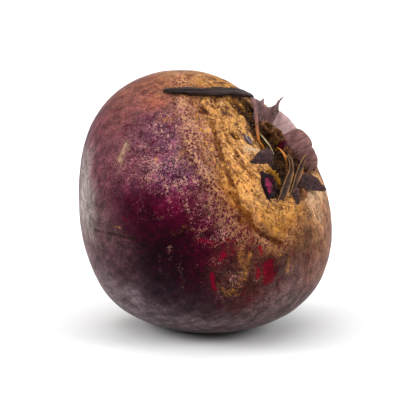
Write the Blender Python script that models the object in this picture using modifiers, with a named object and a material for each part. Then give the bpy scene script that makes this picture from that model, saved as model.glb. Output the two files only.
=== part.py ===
"""A beetroot as it is sold: a swollen root with a trimmed tail, and dried leaf stalks on its crown.

Lengths are in metres and angles in degrees. +Z is up and -Y faces the viewer. The beetroot lies on a
small flat spot with its crown lifted to the right. It is modelled in its own axes first, with the
crown up and the middle of its widest girth at the origin, and the empty "bulb_axis" then leans it over.
"""

import math

import bmesh
import bpy
from mathutils import Euler, Matrix, Vector
from mathutils.bvhtree import BVHTree

MM = 0.001

# How the beetroot lies: the crown's axis is lifted from the floor and swung towards the viewer.
CROWN_LIFT = 41.0
CROWN_SWING = -28.0
BULB_CENTRE = Vector((0.0009, -0.0002, 0.0426))

# The swollen root, a turned form that is blunt at the crown and drawn in towards the tail.
GIRTH_RADIUS = 43.4 * MM
SHOULDER_HEIGHT = 31.4 * MM
SHOULDER_FULLNESS = 2.23
CROWN_LEVEL = 31.05 * MM
CROWN_SOFTNESS = 2.0 * MM
TAIL_DEPTH = 47.5 * MM
TAIL_FULLNESS = 1.80
TAIL_TAPER = 1.44
TAIL_RADIUS = 2.6 * MM
TAIL_END = 49.0 * MM
HOLLOW_RADIUS = 10.0 * MM
HOLLOW_DEPTH = 1.6 * MM
TURN_STEPS = 60
PROFILE_STEPS = 28

# Slow unevenness: an oval girth, three soft lobes, and a lean that grows with the distance from the girth.
OVAL = (0.047, 23.0)
LOBES = (0.011, -19.0)
LEAN = Vector((-3.3 * MM, 1.8 * MM, 0.0))
LEAN_REACH = 40.0 * MM

# Shallow dents: (angle from the axis, turn about it, spread) in degrees, and the depth.
DENTS = [
    (44.0, 134.0, 17.0, 2.2 * MM),
    (118.0, -130.0, 16.0, 0.9 * MM),
]

# The remains of the leaf stalks: two thicknesses in millimetres, and how finely they are made.
SCRAP_THICKNESS = 0.45
SCALE_THICKNESS = 1.9
BLADE_STATIONS = 7
STUB_SIDES = 16
STUB_ROUNDING = 0.6
SHARP_ANGLE = math.radians(40)
FIBRE_ROUNDNESS = 2
FIBRE_STEPS = 3

MERGE_DISTANCE = 0.01 * MM
CUTTER_SIZE = 3 * GIRTH_RADIUS

COLLECTION = "beetroot"
CUTTERS = "cutters"


def clear_scene():
    """Removes whatever the file holds."""
    for old in list(bpy.data.objects):
        bpy.data.objects.remove(old, do_unlink=True)


def new_collection(name):
    """An empty collection linked to the scene."""
    made = bpy.data.collections.new(name)
    bpy.context.scene.collection.children.link(made)
    return made


def make_material(name, colour, roughness):
    """A plain finish: colour is linear RGB."""
    made = bpy.data.materials.new(name)
    made.use_nodes = True
    shader = made.node_tree.nodes["Principled BSDF"]
    shader.inputs["Base Color"].default_value = (*colour, 1.0)
    shader.inputs["Roughness"].default_value = roughness
    shader.inputs["Metallic"].default_value = 0.0
    return made


def add_object(name, data, material, collection, parent):
    """Links an object with one material to a collection, under its parent."""
    made = bpy.data.objects.new(name, data)
    data.materials.append(material)
    collection.objects.link(made)
    made.parent = parent
    return made


def power(value, exponent):
    """A power that never meets the tiny negative numbers that a cosine of 90 degrees gives."""
    return max(value, 0.0) ** exponent


def soft_level(height):
    """Flattens heights that near the crown's level, with a soft edge."""
    ratio = math.exp(-height / CROWN_SOFTNESS) + math.exp(-CROWN_LEVEL / CROWN_SOFTNESS)
    return -CROWN_SOFTNESS * math.log(ratio)


def crown_half(angle):
    """(radius, height) on the crown's half, at this angle from the axis."""
    radius = GIRTH_RADIUS * power(math.sin(angle), 2 / SHOULDER_FULLNESS)
    height = soft_level(SHOULDER_HEIGHT * power(math.cos(angle), 2 / SHOULDER_FULLNESS))
    inside = max(0.0, 1 - (radius / HOLLOW_RADIUS) ** 2)
    return radius, height - HOLLOW_DEPTH * inside**2


def tail_half(angle):
    """(radius, height) on the tail's half, at this angle from the axis."""
    radius = GIRTH_RADIUS * power(math.sin(angle), 2 / TAIL_TAPER)
    return radius, -TAIL_DEPTH * power(-math.cos(angle), 2 / TAIL_FULLNESS)


def bulb_profile():
    """The outer side of the root as (radius, height), from the crown's middle down to the cut tail."""
    quarter = math.pi / 2
    points = [crown_half(quarter * i / PROFILE_STEPS) for i in range(PROFILE_STEPS)]
    for i in range(PROFILE_STEPS + 1):
        radius, height = tail_half(quarter * (1 + i / PROFILE_STEPS))
        if radius > TAIL_RADIUS:
            points.append((radius, height))
    points.append((TAIL_RADIUS, points[-1][1] - TAIL_RADIUS / 3))
    points.append((TAIL_RADIUS * 0.9, -TAIL_END))
    points.append((0.0, -TAIL_END))
    return points


def turned_mesh(name, profile):
    """Turns a profile about Z with a Screw modifier and returns the mesh."""
    line = bmesh.new()
    vertices = [line.verts.new((radius, 0.0, height)) for radius, height in profile]
    for above, below in zip(vertices, vertices[1:]):
        line.edges.new((above, below))
    mesh = bpy.data.meshes.new(name + "_profile")
    line.to_mesh(mesh)
    line.free()
    turned = bpy.data.objects.new(name + "_turned", mesh)
    bpy.context.scene.collection.objects.link(turned)
    screw = turned.modifiers.new("turn", "SCREW")
    screw.steps = TURN_STEPS
    screw.render_steps = TURN_STEPS
    screw.use_merge_vertices = True
    screw.merge_threshold = MERGE_DISTANCE
    bpy.context.view_layer.update()
    graph = bpy.context.evaluated_depsgraph_get()
    made = bpy.data.meshes.new_from_object(turned.evaluated_get(graph))
    made.name = name
    bpy.data.objects.remove(turned, do_unlink=True)
    return made


def grow_unevenly(mesh):
    """Gives the turned form its oval girth, its lobes and its lean."""
    for vertex in mesh.vertices:
        x, y, z = vertex.co
        share = math.hypot(x, y) / GIRTH_RADIUS
        turn = math.atan2(y, x)
        oval = OVAL[0] * math.cos(2 * (turn - math.radians(OVAL[1]))) * share**2
        lobes = LOBES[0] * math.cos(3 * (turn - math.radians(LOBES[1]))) * share**3
        swell = 1 + oval + lobes
        lean = LEAN * math.copysign((z / LEAN_REACH) ** 2, z)
        vertex.co = Vector((x * swell, y * swell, z)) + lean


def press_dents(mesh):
    """Presses each shallow dent towards the root's middle, with a soft edge."""
    for vertex in mesh.vertices:
        outward = vertex.co.normalized()
        for polar, turn, spread, depth in DENTS:
            polar, turn = math.radians(polar), math.radians(turn)
            level = math.sin(polar)
            middle = Vector((level * math.cos(turn), level * math.sin(turn), math.cos(polar)))
            away = math.degrees(outward.angle(middle)) / spread
            vertex.co -= outward * depth * math.exp(-(away**2))


def make_root(parent, parts, cutters):
    """The swollen root, with the flat spot that it lies on cut by a plane at the floor."""
    mesh = turned_mesh("swollen_root", bulb_profile())
    grow_unevenly(mesh)
    press_dents(mesh)
    mesh.shade_smooth()
    skin = make_material("beet_skin", (0.10, 0.028, 0.040), 0.5)
    root = add_object("swollen_root", mesh, skin, parts, parent)
    block = bpy.data.meshes.new("floor_cutter")
    shape = bmesh.new()
    bmesh.ops.create_cube(shape, size=CUTTER_SIZE)
    shape.to_mesh(block)
    shape.free()
    cutter = bpy.data.objects.new("floor_cutter", block)
    cutter.location = (0.0, 0.0, -CUTTER_SIZE / 2)
    cutter.hide_render = True
    cutter.display_type = "WIRE"
    cutters.objects.link(cutter)
    cut = root.modifiers.new("flat_spot", "BOOLEAN")
    cut.operation = "DIFFERENCE"
    cut.object = cutter
    return root


class CrownSurface:
    """Finds points on the root's uncut skin, in the root's own axes."""

    def __init__(self, root):
        mesh = root.data
        faces = [face.vertices for face in mesh.polygons]
        self.tree = BVHTree.FromPolygons([vertex.co for vertex in mesh.vertices], faces)

    def under(self, u, v):
        """(point, normal) of the skin straight below (u, v), both in millimetres."""
        above = Vector((u * MM, v * MM, 2 * GIRTH_RADIUS))
        point, normal, _, _ = self.tree.ray_cast(above, Vector((0.0, 0.0, -1.0)))
        return point, normal

    def raised(self, u, v, rise):
        """The point above (u, v) that stands rise millimetres off the skin."""
        point, normal = self.under(u, v)
        return point + normal * rise * MM


def smooth_path(points, count):
    """count points evenly spaced in parameter on a Catmull-Rom curve through points."""
    ends = [2 * points[0] - points[1], *points, 2 * points[-1] - points[-2]]
    spans = len(points) - 1
    made = []
    for i in range(count):
        place = spans * i / (count - 1)
        k = min(int(place), spans - 1)
        t = place - k
        a, b, c, d = ends[k : k + 4]
        made.append(
            0.5 * (2 * b + (c - a) * t + (2 * a - 5 * b + 4 * c - d) * t**2 + (3 * b - a - 3 * c + d) * t**3)
        )
    return made


def make_fibre(name, surface, stations, material, parts, parent):
    """A round strand through stations of (u, v, rise, radius), all in millimetres."""
    curve = bpy.data.curves.new(name, "CURVE")
    curve.dimensions = "3D"
    curve.bevel_depth = MM
    curve.bevel_resolution = FIBRE_ROUNDNESS
    curve.resolution_u = FIBRE_STEPS
    curve.use_fill_caps = True
    spline = curve.splines.new("BEZIER")
    spline.bezier_points.add(len(stations) - 1)
    for point, (u, v, rise, radius) in zip(spline.bezier_points, stations):
        point.co = surface.raised(u, v, rise)
        point.radius = radius
        point.handle_left_type = "AUTO"
        point.handle_right_type = "AUTO"
    return add_object(name, curve, material, parts, parent)


def make_blade(name, surface, rails, thickness, material, parts, parent):
    """A piece of leaf stalk as a sheet through rails, each a list of (u, v, rise). All in millimetres."""
    paths = [smooth_path([surface.raised(*place) for place in rail], BLADE_STATIONS) for rail in rails]
    shape = bmesh.new()
    bmesh.ops.create_grid(shape, x_segments=BLADE_STATIONS - 1, y_segments=len(rails) - 1, size=1.0)
    for vertex in shape.verts:
        along = round((vertex.co.x + 1) / 2 * (BLADE_STATIONS - 1))
        across = round((vertex.co.y + 1) / 2 * (len(rails) - 1))
        vertex.co = paths[across][along]
    mesh = bpy.data.meshes.new(name)
    shape.to_mesh(mesh)
    shape.free()
    mesh.shade_smooth()
    blade = add_object(name, mesh, material, parts, parent)
    wall = blade.modifiers.new("wall", "SOLIDIFY")
    wall.thickness = thickness * MM
    wall.offset = 0.0
    return blade


def make_stub(name, surface, foot, tip, size, taper, material, parts, parent):
    """The thick foot of a leaf stalk, an oval cone from foot to tip.

    foot and tip are (u, v, rise), size is (across, through) and all are in millimetres. The wide side
    of the oval faces the crown's middle, and taper is the tip's share of the foot's size.
    """
    low = surface.raised(*foot)
    high = surface.raised(*tip)
    along = (high - low).normalized()
    inward = -Vector((low.x, low.y, 0.0)).normalized()
    side = along.cross(inward).normalized()
    turned = Matrix((side, along.cross(side), along)).transposed().to_4x4()
    across, through = (0.5 * length * MM for length in size)
    shape = bmesh.new()
    bmesh.ops.create_cone(
        shape, cap_ends=True, segments=STUB_SIDES, radius1=1.0, radius2=taper, depth=(high - low).length
    )
    bmesh.ops.scale(shape, vec=(across, through, 1.0), verts=shape.verts)
    mesh = bpy.data.meshes.new(name)
    shape.to_mesh(mesh)
    shape.free()
    mesh.shade_smooth()
    stub = add_object(name, mesh, material, parts, parent)
    stub.matrix_local = Matrix.Translation((low + high) / 2) @ turned
    rounding = stub.modifiers.new("rounding", "BEVEL")
    rounding.width = STUB_ROUNDING * min(across, through) * taper
    rounding.segments = 2
    rounding.limit_method = "ANGLE"
    rounding.angle_limit = SHARP_ANGLE
    return stub


def make_long_stalk(surface, parts, parent):
    """A leaf stalk that dried thin at its foot, folded over the crown's rim and lies on the shoulder."""
    dry = make_material("dry_stalk", (0.022, 0.014, 0.013), 0.65)
    stations = [
        (-1.0, -4.3, 1.0, 0.35),
        (-3.6, -5.0, 1.4, 0.4),
        (-8.6, -0.3, 1.6, 0.45),
        (-12.9, 4.9, 1.7, 0.55),
        (-16.9, 8.8, 2.0, 0.8),
        (-18.4, 8.2, 2.0, 1.0),
        (-20.6, 1.4, 2.0, 1.15),
        (-23.0, -4.8, 1.7, 1.2),
        (-25.8, -10.8, 1.6, 1.1),
        (-29.4, -15.2, 1.5, 0.95),
        (-32.4, -18.0, 1.3, 0.7),
    ]
    make_fibre("long_dry_stalk", surface, stations, dry, parts, parent)


def make_stubs(surface, parts, parent):
    """The feet of leaf stalks that rotted or were cut short, and the bud in the crown's middle."""
    dark = make_material("dark_stalk_foot", (0.06, 0.035, 0.04), 0.7)
    flesh = make_material("cut_flesh", (0.16, 0.01, 0.05), 0.35)
    cork = make_material("corky_stub", (0.25, 0.2, 0.2), 0.8)
    bud = make_material("heart_bud", (0.18, 0.02, 0.03), 0.5)
    stubs = {
        "dark_stalk_foot_1": (dark, (-6.6, 4.6, 0.9), (-7.4, 5.0, 3.0), (4.4, 2.6), 0.7),
        "dark_stalk_foot_2": (dark, (-2.2, 6.4, 0.9), (-2.6, 7.4, 3.4), (4.0, 2.4), 0.6),
        "fleshy_stub": (flesh, (11.0, -14.4, 0.8), (11.0, -14.4, 1.9), (5.0, 7.0), 0.85),
        "corky_stub": (cork, (-4.8, -9.0, 0.7), (-4.9, -9.2, 1.6), (2.4, 3.0), 0.85),
        "heart_bud": (bud, (1.4, 6.4, 0.7), (1.2, 7.2, 3.4), (2.8, 2.2), 0.35),
    }
    for name, (material, *shape) in stubs.items():
        make_stub(name, surface, *shape, material, parts, parent)


def make_scales(surface, parts, parent):
    """The broad pale feet of the outer leaf stalks, which stand like scales along the crown's far rim."""
    pale = make_material("pale_stalk_scale", (0.36, 0.25, 0.25), 0.6)
    scales = {
        "pale_stalk_scale_1": (
            [(-7.4, 11.2, 1.1), (-5.8, 11.9, 1.1), (-4.2, 12.6, 1.1), (-2.6, 12.8, 1.1)],
            [(-8.6, 12.8, 4.0), (-6.4, 13.6, 4.2), (-4.4, 14.1, 4.6), (-2.6, 14.4, 4.2)],
        ),
        "pale_stalk_scale_2": (
            [(-0.6, 12.8, 1.1), (1.4, 13.2, 1.1), (3.2, 13.6, 1.1), (4.8, 13.6, 1.1)],
            [(-1.0, 14.6, 4.4), (1.4, 15.4, 4.8), (3.6, 16.0, 4.8), (5.4, 15.8, 4.2)],
        ),
        "pale_stalk_scale_3": (
            [(6.8, 13.4, 1.1), (8.6, 13.4, 1.1), (10.4, 13.4, 1.1), (12.0, 13.2, 1.1)],
            [(7.4, 15.4, 4.0), (9.2, 15.4, 3.6), (10.9, 15.4, 3.2), (12.6, 15.0, 2.4)],
        ),
    }
    for name, rails in scales.items():
        make_blade(name, surface, rails, SCALE_THICKNESS, pale, parts, parent)


def make_scraps(surface, parts, parent):
    """The thin dried remains of leaf stalks."""
    dark = make_material("dark_scrap", (0.05, 0.032, 0.034), 0.7)
    brown = make_material("brown_scrap", (0.16, 0.08, 0.04), 0.7)
    yellow = make_material("yellow_scrap", (0.45, 0.24, 0.05), 0.8)
    mauve = make_material("mauve_sheath", (0.25, 0.16, 0.15), 0.6)
    scraps = {
        "horned_sheath": (
            mauve,
            [(-10.8, 3.9, 0.8), (-10.0, 5.9, 0.8), (-9.4, 7.7, 0.8), (-9.0, 9.2, 0.8)],
            [(-13.2, 7.0, 1.4), (-11.8, 7.6, 1.6), (-10.6, 8.6, 2.0), (-9.2, 10.2, 3.0)],
            [(-14.6, 10.4, 4.0), (-12.9, 9.0, 3.0), (-11.0, 10.2, 4.2), (-10.1, 11.8, 8.0)],
        ),
        "left_leaf_scrap": (
            dark,
            [(1.6, -14.4, 0.8), (3.6, -11.0, 0.8), (4.6, -8.6, 0.8), (5.0, -6.6, 0.8)],
            [(1.2, -13.6, 1.2), (1.0, -9.6, 2.2), (0.8, -7.0, 2.6), (1.4, -4.8, 2.4)],
        ),
        "right_leaf_scrap": (
            dark,
            [(15.6, 3.2, 0.8), (17.0, 4.8, 1.1), (18.6, 6.8, 2.2), (19.8, 9.8, 3.6)],
            [(14.2, 4.4, 1.6), (14.4, 7.0, 3.0), (16.4, 9.4, 4.0), (19.2, 10.8, 4.4)],
        ),
        "folded_stalk_near": (
            brown,
            [(16.8, -12.4, 0.8), (14.6, -10.7, 1.2), (11.9, -6.0, 1.6), (9.6, -1.7, 2.2), (6.6, -2.0, 4.0)],
            [(17.9, -10.8, 0.8), (15.7, -6.9, 1.2), (12.8, -2.4, 1.6), (10.2, 0.9, 2.1), (6.9, 0.2, 4.0)],
        ),
        "folded_stalk_far": (
            brown,
            [(17.2, -5.8, 0.8), (14.6, -3.0, 1.2), (11.4, 1.3, 2.0), (9.3, 4.0, 3.5), (7.9, 6.4, 5.0)],
            [(17.8, -5.2, 0.9), (15.2, -1.2, 1.1), (12.6, 3.6, 2.1), (10.5, 6.2, 3.1), (8.3, 7.2, 5.0)],
        ),
        "lower_leaf_scrap": (
            dark,
            [(20.2, -4.4, 0.8), (18.8, -3.2, 0.8), (17.4, -1.8, 0.9)],
            [(20.8, -2.6, 0.9), (19.4, -1.2, 1.4), (17.8, -0.2, 1.6)],
        ),
        "yellow_leaf_scrap": (
            yellow,
            [(7.4, -11.0, 0.8), (9.0, -9.2, 0.8), (10.4, -7.8, 0.8)],
            [(7.2, -9.6, 1.8), (8.2, -8.0, 2.0), (9.0, -6.8, 1.6)],
        ),
    }
    for name, (material, *rails) in scraps.items():
        make_blade(name, surface, rails, SCRAP_THICKNESS, material, parts, parent)


def make_fibres(surface, parts, parent):
    """Loose strands that the rotted stalks left behind."""
    straw = make_material("straw_fibre", (0.35, 0.27, 0.16), 0.7)
    amber = make_material("amber_fibre", (0.42, 0.2, 0.09), 0.7)
    straw_stations = [
        (-6.2, 1.6, 1.2, 0.3),
        (-3.0, -1.4, 1.9, 0.32),
        (0.2, -2.0, 2.1, 0.3),
        (3.0, -1.2, 1.6, 0.25),
    ]
    amber_stations = [(1.6, 3.2, 2.0, 0.3), (4.4, 1.6, 2.2, 0.42), (7.6, 0.6, 1.4, 0.3)]
    make_fibre("straw_fibre", surface, straw_stations, straw, parts, parent)
    make_fibre("amber_fibre", surface, amber_stations, amber, parts, parent)


def main():
    """Builds the root and everything on its crown under one leaning empty."""
    clear_scene()
    parts = new_collection(COLLECTION)
    cutters = new_collection(CUTTERS)
    axis = bpy.data.objects.new("bulb_axis", None)
    axis.location = BULB_CENTRE
    axis.rotation_euler = Euler((0.0, math.radians(90 - CROWN_LIFT), math.radians(CROWN_SWING)), "XYZ")
    parts.objects.link(axis)
    root = make_root(axis, parts, cutters)
    surface = CrownSurface(root)
    make_long_stalk(surface, parts, axis)
    make_scales(surface, parts, axis)
    make_stubs(surface, parts, axis)
    make_scraps(surface, parts, axis)
    make_fibres(surface, parts, axis)


main()
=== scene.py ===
"""A whole raw beetroot on a pale floor: the swollen root, its corky crown and the dried stalk remains.

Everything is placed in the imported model's frame: metres, +Z up, the beetroot lying on a small flat spot.
Places on the root are given as two angles, the polar angle from the crown's middle and the turn about the
crown's axis, and places on the crown as (u, v, rise) in millimetres, rise being the height over the skin.
"""

import logging
import math
from dataclasses import dataclass, field
from enum import Enum

import bmesh
import bpy
import numpy as np
from mathutils import Euler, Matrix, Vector
from mathutils.bvhtree import BVHTree

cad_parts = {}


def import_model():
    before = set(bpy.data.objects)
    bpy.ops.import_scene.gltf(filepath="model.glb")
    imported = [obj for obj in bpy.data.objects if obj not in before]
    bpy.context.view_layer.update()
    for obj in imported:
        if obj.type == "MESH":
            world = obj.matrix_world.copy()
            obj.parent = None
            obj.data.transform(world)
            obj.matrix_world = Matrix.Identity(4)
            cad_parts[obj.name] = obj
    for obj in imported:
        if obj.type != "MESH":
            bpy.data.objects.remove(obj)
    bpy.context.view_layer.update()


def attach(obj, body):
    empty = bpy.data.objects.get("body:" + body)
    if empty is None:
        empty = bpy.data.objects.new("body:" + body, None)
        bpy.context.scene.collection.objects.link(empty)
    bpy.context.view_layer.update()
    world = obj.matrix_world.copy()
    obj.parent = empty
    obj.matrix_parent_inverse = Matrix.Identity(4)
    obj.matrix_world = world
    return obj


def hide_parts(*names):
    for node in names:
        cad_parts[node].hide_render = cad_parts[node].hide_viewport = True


LOG = logging.getLogger("beetroot")
MM = 0.001
BODY = "root"
SEED = 7
CRUMB_SEED = 3
FIBRE_SEED = 5

Place = tuple[float, float, float]
Station = tuple[float, float, float, float]
Socket = bpy.types.NodeSocket


# --------------------------------------------------------------------------------------------------
# Colours and shader nodes
# --------------------------------------------------------------------------------------------------


def linear(colour: str) -> tuple[float, float, float, float]:
    """Turns an sRGB hex colour into linear RGBA.

    Args:
        colour: six hex digits after a hash sign.

    Returns:
        Red, green, blue and an alpha of one.
    """
    parts = [int(colour[i : i + 2], 16) / 255 for i in (1, 3, 5)]
    red, green, blue = (c / 12.92 if c <= 0.04045 else ((c + 0.055) / 1.055) ** 2.4 for c in parts)
    return red, green, blue, 1.0


def add_node(
    tree: bpy.types.NodeTree, kind: str, inputs: dict | None = None, **settings: object
) -> bpy.types.Node:
    """Adds one node with its settings, values and links.

    Args:
        tree: the shader or geometry tree that gets the node.
        kind: the node's Blender type name.
        inputs: value or source socket for each input, by name or index.
        settings: the node's own properties.

    Returns:
        The new node.
    """
    node = tree.nodes.new(kind)
    for name, value in settings.items():
        setattr(node, name, value)
    for key, value in (inputs or {}).items():
        if isinstance(value, Socket):
            tree.links.new(value, node.inputs[key])
        else:
            node.inputs[key].default_value = value
    return node


class Blend(Enum):
    """How a layer of colour lies on the one below it."""

    COVER = "MIX"
    TINT = "MULTIPLY"


class Arithmetic:
    """Sums of node sockets, for a class that has a node tree."""

    tree: bpy.types.NodeTree

    def maths(self, operation: str, *values: object) -> Socket:
        """Works out one number from others."""
        return add_node(self.tree, "ShaderNodeMath", dict(enumerate(values)), operation=operation).outputs[0]

    def times(self, first: object, *others: object) -> Socket:
        """Multiplies numbers."""
        for other in others:
            first = self.maths("MULTIPLY", first, other)
        return first


@dataclass
class Painter(Arithmetic):
    """Builds a material's nodes layer by layer."""

    material: bpy.types.Material
    tree: bpy.types.NodeTree = field(init=False)
    where: Socket = field(init=False)

    def __post_init__(self) -> None:
        """Finds the material's tree and adds its coordinates."""
        self.tree = self.material.node_tree
        self.where = add_node(self.tree, "ShaderNodeTexCoord").outputs["Object"]

    def attribute(self, name: str, output: str = "Fac") -> Socket:
        """Reads an attribute of the mesh."""
        return add_node(self.tree, "ShaderNodeAttribute", attribute_name=name).outputs[output]

    def grain(self, size: float, detail: float = 3.0, rough: float = 0.6, warp: float = 0.0,
              stretch: Place | None = None, where: Socket | None = None) -> Socket:
        """A cloudy pattern.

        Args:
            size: the size of its largest forms, in the unit of where.
            detail: how many finer octaves it has.
            rough: how strong they are.
            warp: how far it is distorted.
            stretch: a factor for each axis, to draw it out into streaks.
            where: the coordinates, or None for the object's own, in metres.

        Returns:
            A number around a half.
        """
        coords = where or self.where
        if stretch:
            drawn = add_node(self.tree, "ShaderNodeVectorMath", {0: coords, 1: stretch}, operation="MULTIPLY")
            coords = drawn.outputs[0]
        inputs = {"Vector": coords, "Scale": 1 / size, "Detail": detail, "Roughness": rough}
        inputs["Distortion"] = warp
        return add_node(self.tree, "ShaderNodeTexNoise", inputs).outputs["Fac"]

    def stirred(self, size: float, reach: float) -> Socket:
        """The object's coordinates, shaken by noise of this size as far as reach, both in metres."""
        inputs = {"Vector": self.where, "Scale": 1 / size, "Detail": 3.0}
        sway = add_node(self.tree, "ShaderNodeTexNoise", inputs)
        inputs = {0: sway.outputs["Color"], 1: (reach,) * 3, 2: self.where}
        return add_node(self.tree, "ShaderNodeVectorMath", inputs, operation="MULTIPLY_ADD").outputs[0]

    def cells(self, size: float, feature: str = "F1", where: Socket | None = None) -> Socket:
        """The distance to the middle or edge of cells of this size in metres."""
        inputs = {"Vector": where or self.where, "Scale": 1 / size}
        return add_node(self.tree, "ShaderNodeTexVoronoi", inputs, feature=feature).outputs["Distance"]

    def rise(self, value: Socket, low: float, high: float) -> Socket:
        """Eases from 0 at low to 1 at high, or the other way round where low is the larger."""
        inputs = {"Value": value, "From Min": low, "From Max": high, "To Min": 0.0, "To Max": 1.0}
        eased = add_node(self.tree, "ShaderNodeMapRange", inputs, interpolation_type="SMOOTHSTEP")
        return eased.outputs["Result"]

    def span(self, value: Socket, low: float, high: float) -> Socket:
        """Turns 0 to 1 into low to high."""
        inputs = {"Value": value, "To Min": low, "To Max": high}
        return add_node(self.tree, "ShaderNodeMapRange", inputs).outputs["Result"]

    def layer(self, below: object, above: object, amount: object, blend: Blend = Blend.COVER) -> Socket:
        """Lays one colour on another.

        Args:
            below: the colour so far.
            above: a hex colour or a socket.
            amount: how much of it shows, from 0 to 1.
            blend: how it is laid.

        Returns:
            The mixed colour.
        """
        colours = [linear(c) if isinstance(c, str) else c for c in (below, above)]
        inputs = {0: amount, 6: colours[0], 7: colours[1]}
        settings = {"data_type": "RGBA", "blend_type": blend.value, "clamp_result": False}
        return add_node(self.tree, "ShaderNodeMix", inputs, **settings).outputs[2]

    def gain(self, colour: Socket, factor: Socket) -> Socket:
        """Brightens or darkens a colour by a factor, keeping its hue."""
        inputs = {0: colour, "Scale": factor}
        return add_node(self.tree, "ShaderNodeVectorMath", inputs, operation="SCALE").outputs[0]

    def settled(self, colour: Socket, depth: float = 0.58, richness: object = 1.2) -> Socket:
        """Turns a colour as it looks in strong light into the surface's own, which is deeper."""
        richer = {"Color": colour, "Saturation": richness, "Value": depth}
        return add_node(self.tree, "ShaderNodeHueSaturation", richer).outputs["Color"]

    def bump(self, height: Socket, depth: float, strength: float = 1.0,
             below: Socket | None = None) -> Socket:
        """A relief too fine for the mesh: depth is in metres."""
        inputs = {"Height": height, "Distance": depth, "Strength": strength}
        if below:
            inputs["Normal"] = below
        return add_node(self.tree, "ShaderNodeBump", inputs).outputs["Normal"]


def new_material(name: str) -> bpy.types.Material:
    """An empty material with a Principled shader."""
    made = bpy.data.materials.new(name)
    made.use_nodes = True
    return made


def set_shader(material: bpy.types.Material, **values: object) -> None:
    """Sets or links the Principled shader's inputs, named with underscores for spaces."""
    shader = material.node_tree.nodes["Principled BSDF"]
    for key, value in values.items():
        socket = shader.inputs[key.replace("_", " ")]
        if isinstance(value, Socket):
            material.node_tree.links.new(value, socket)
        else:
            socket.default_value = value


# --------------------------------------------------------------------------------------------------
# The bulb's own axes, and noise for laying out marks
# --------------------------------------------------------------------------------------------------


@dataclass
class CloudyNoise:
    """Smooth noise on a repeating lattice, for whole arrays of points at once."""

    seed: int
    side: int = 32
    lattice: np.ndarray = field(init=False)

    def __post_init__(self) -> None:
        """Fills the lattice."""
        self.lattice = np.random.default_rng(self.seed).random((self.side,) * 3)

    def at(self, points: np.ndarray, size: float, octaves: int = 2) -> np.ndarray:
        """Samples the noise.

        Args:
            points: an array of points, three numbers each.
            size: the size of the largest forms.
            octaves: how many sizes are added, each half the last.

        Returns:
            One number for each point, from -1 to 1.
        """
        total = np.zeros(len(points))
        weight = 0.0
        for octave in range(octaves):
            share = 0.5**octave
            total += share * self._sample(points / (size * share) + 11.3 * octave)
            weight += share
        return total / weight

    def _sample(self, spots: np.ndarray) -> np.ndarray:
        """One octave of the noise, from -1 to 1."""
        base = np.floor(spots).astype(int)
        part = spots - base
        part = part * part * (3 - 2 * part)
        value = np.zeros(len(spots))
        for corner in np.ndindex(2, 2, 2):
            index = [(base[:, k] + corner[k]) % self.side for k in range(3)]
            share = np.prod([part[:, k] if corner[k] else 1 - part[:, k] for k in range(3)], axis=0)
            value += share * self.lattice[index[0], index[1], index[2]]
        return value * 2 - 1


def heading(polar: float, turn: float) -> np.ndarray:
    """The unit vector in the bulb's axes at these two angles, in degrees."""
    polar, turn = math.radians(polar), math.radians(turn)
    level = math.sin(polar)
    return np.array([level * math.cos(turn), level * math.sin(turn), math.cos(polar)])


@dataclass
class Bulb:
    """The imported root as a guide: its leaning axes and its skin."""

    node: str = "swollen_root"
    lift: float = 41.0
    swing: float = -28.0
    centre: Vector = field(default_factory=lambda: Vector((0.0009, -0.0002, 0.0426)))
    axes: np.ndarray = field(init=False)
    tree: BVHTree = field(init=False)

    def __post_init__(self) -> None:
        """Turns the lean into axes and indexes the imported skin."""
        turn = Euler((0.0, math.radians(90 - self.lift), math.radians(self.swing)), "XYZ")
        self.axes = np.array(turn.to_matrix())
        mesh = bpy.data.objects[self.node].data
        self.tree = BVHTree.FromPolygons([v.co for v in mesh.vertices], [p.vertices for p in mesh.polygons])

    def world(self, local: np.ndarray) -> np.ndarray:
        """Turns points in the bulb's axes, in millimetres, into the frame's metres."""
        return local * MM @ self.axes.T + np.array(self.centre)

    def local(self, world: np.ndarray) -> np.ndarray:
        """Turns points of the frame into the bulb's axes, in millimetres."""
        return (world - np.array(self.centre)) @ self.axes / MM

    def skin(self, direction: np.ndarray) -> np.ndarray:
        """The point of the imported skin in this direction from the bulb's middle, in the frame."""
        hit = self.tree.ray_cast(self.centre, Vector(self.axes @ direction))[0]
        return np.array(hit)

    def raised(self, place: Place) -> np.ndarray:
        """The point that stands off the crown's skin.

        Args:
            place: (u, v, rise) in millimetres.

        Returns:
            The point in the bulb's axes, in millimetres.
        """
        u, v, rise = place
        start = Vector(self.world(np.array([u, v, 90.0])))
        down = Vector(self.axes @ np.array([0.0, 0.0, -1.0]))
        point, normal, _, _ = self.tree.ray_cast(start, down)
        return self.local(np.array(point)) + np.array(normal) @ self.axes * rise


def smooth_run(points: np.ndarray, places: np.ndarray) -> np.ndarray:
    """Reads a Catmull-Rom curve.

    Args:
        points: the curve's own points, along the first axis.
        places: where to read it, from 0 to 1.

    Returns:
        The points read, along the first axis.
    """
    ends = np.concatenate([[2 * points[0] - points[1]], points, [2 * points[-1] - points[-2]]])
    spans = len(points) - 1
    place = np.clip(places, 0, 1) * spans
    index = np.minimum(place.astype(int), spans - 1)
    t = (place - index).reshape((-1,) + (1,) * (points.ndim - 1))
    a, b, c, d = (ends[index + k] for k in range(4))
    return 0.5 * (2 * b + (c - a) * t + (2 * a - 5 * b + 4 * c - d) * t**2 + (3 * b - a - 3 * c + d) * t**3)


# --------------------------------------------------------------------------------------------------
# Meshes and geometry nodes
# --------------------------------------------------------------------------------------------------


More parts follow.
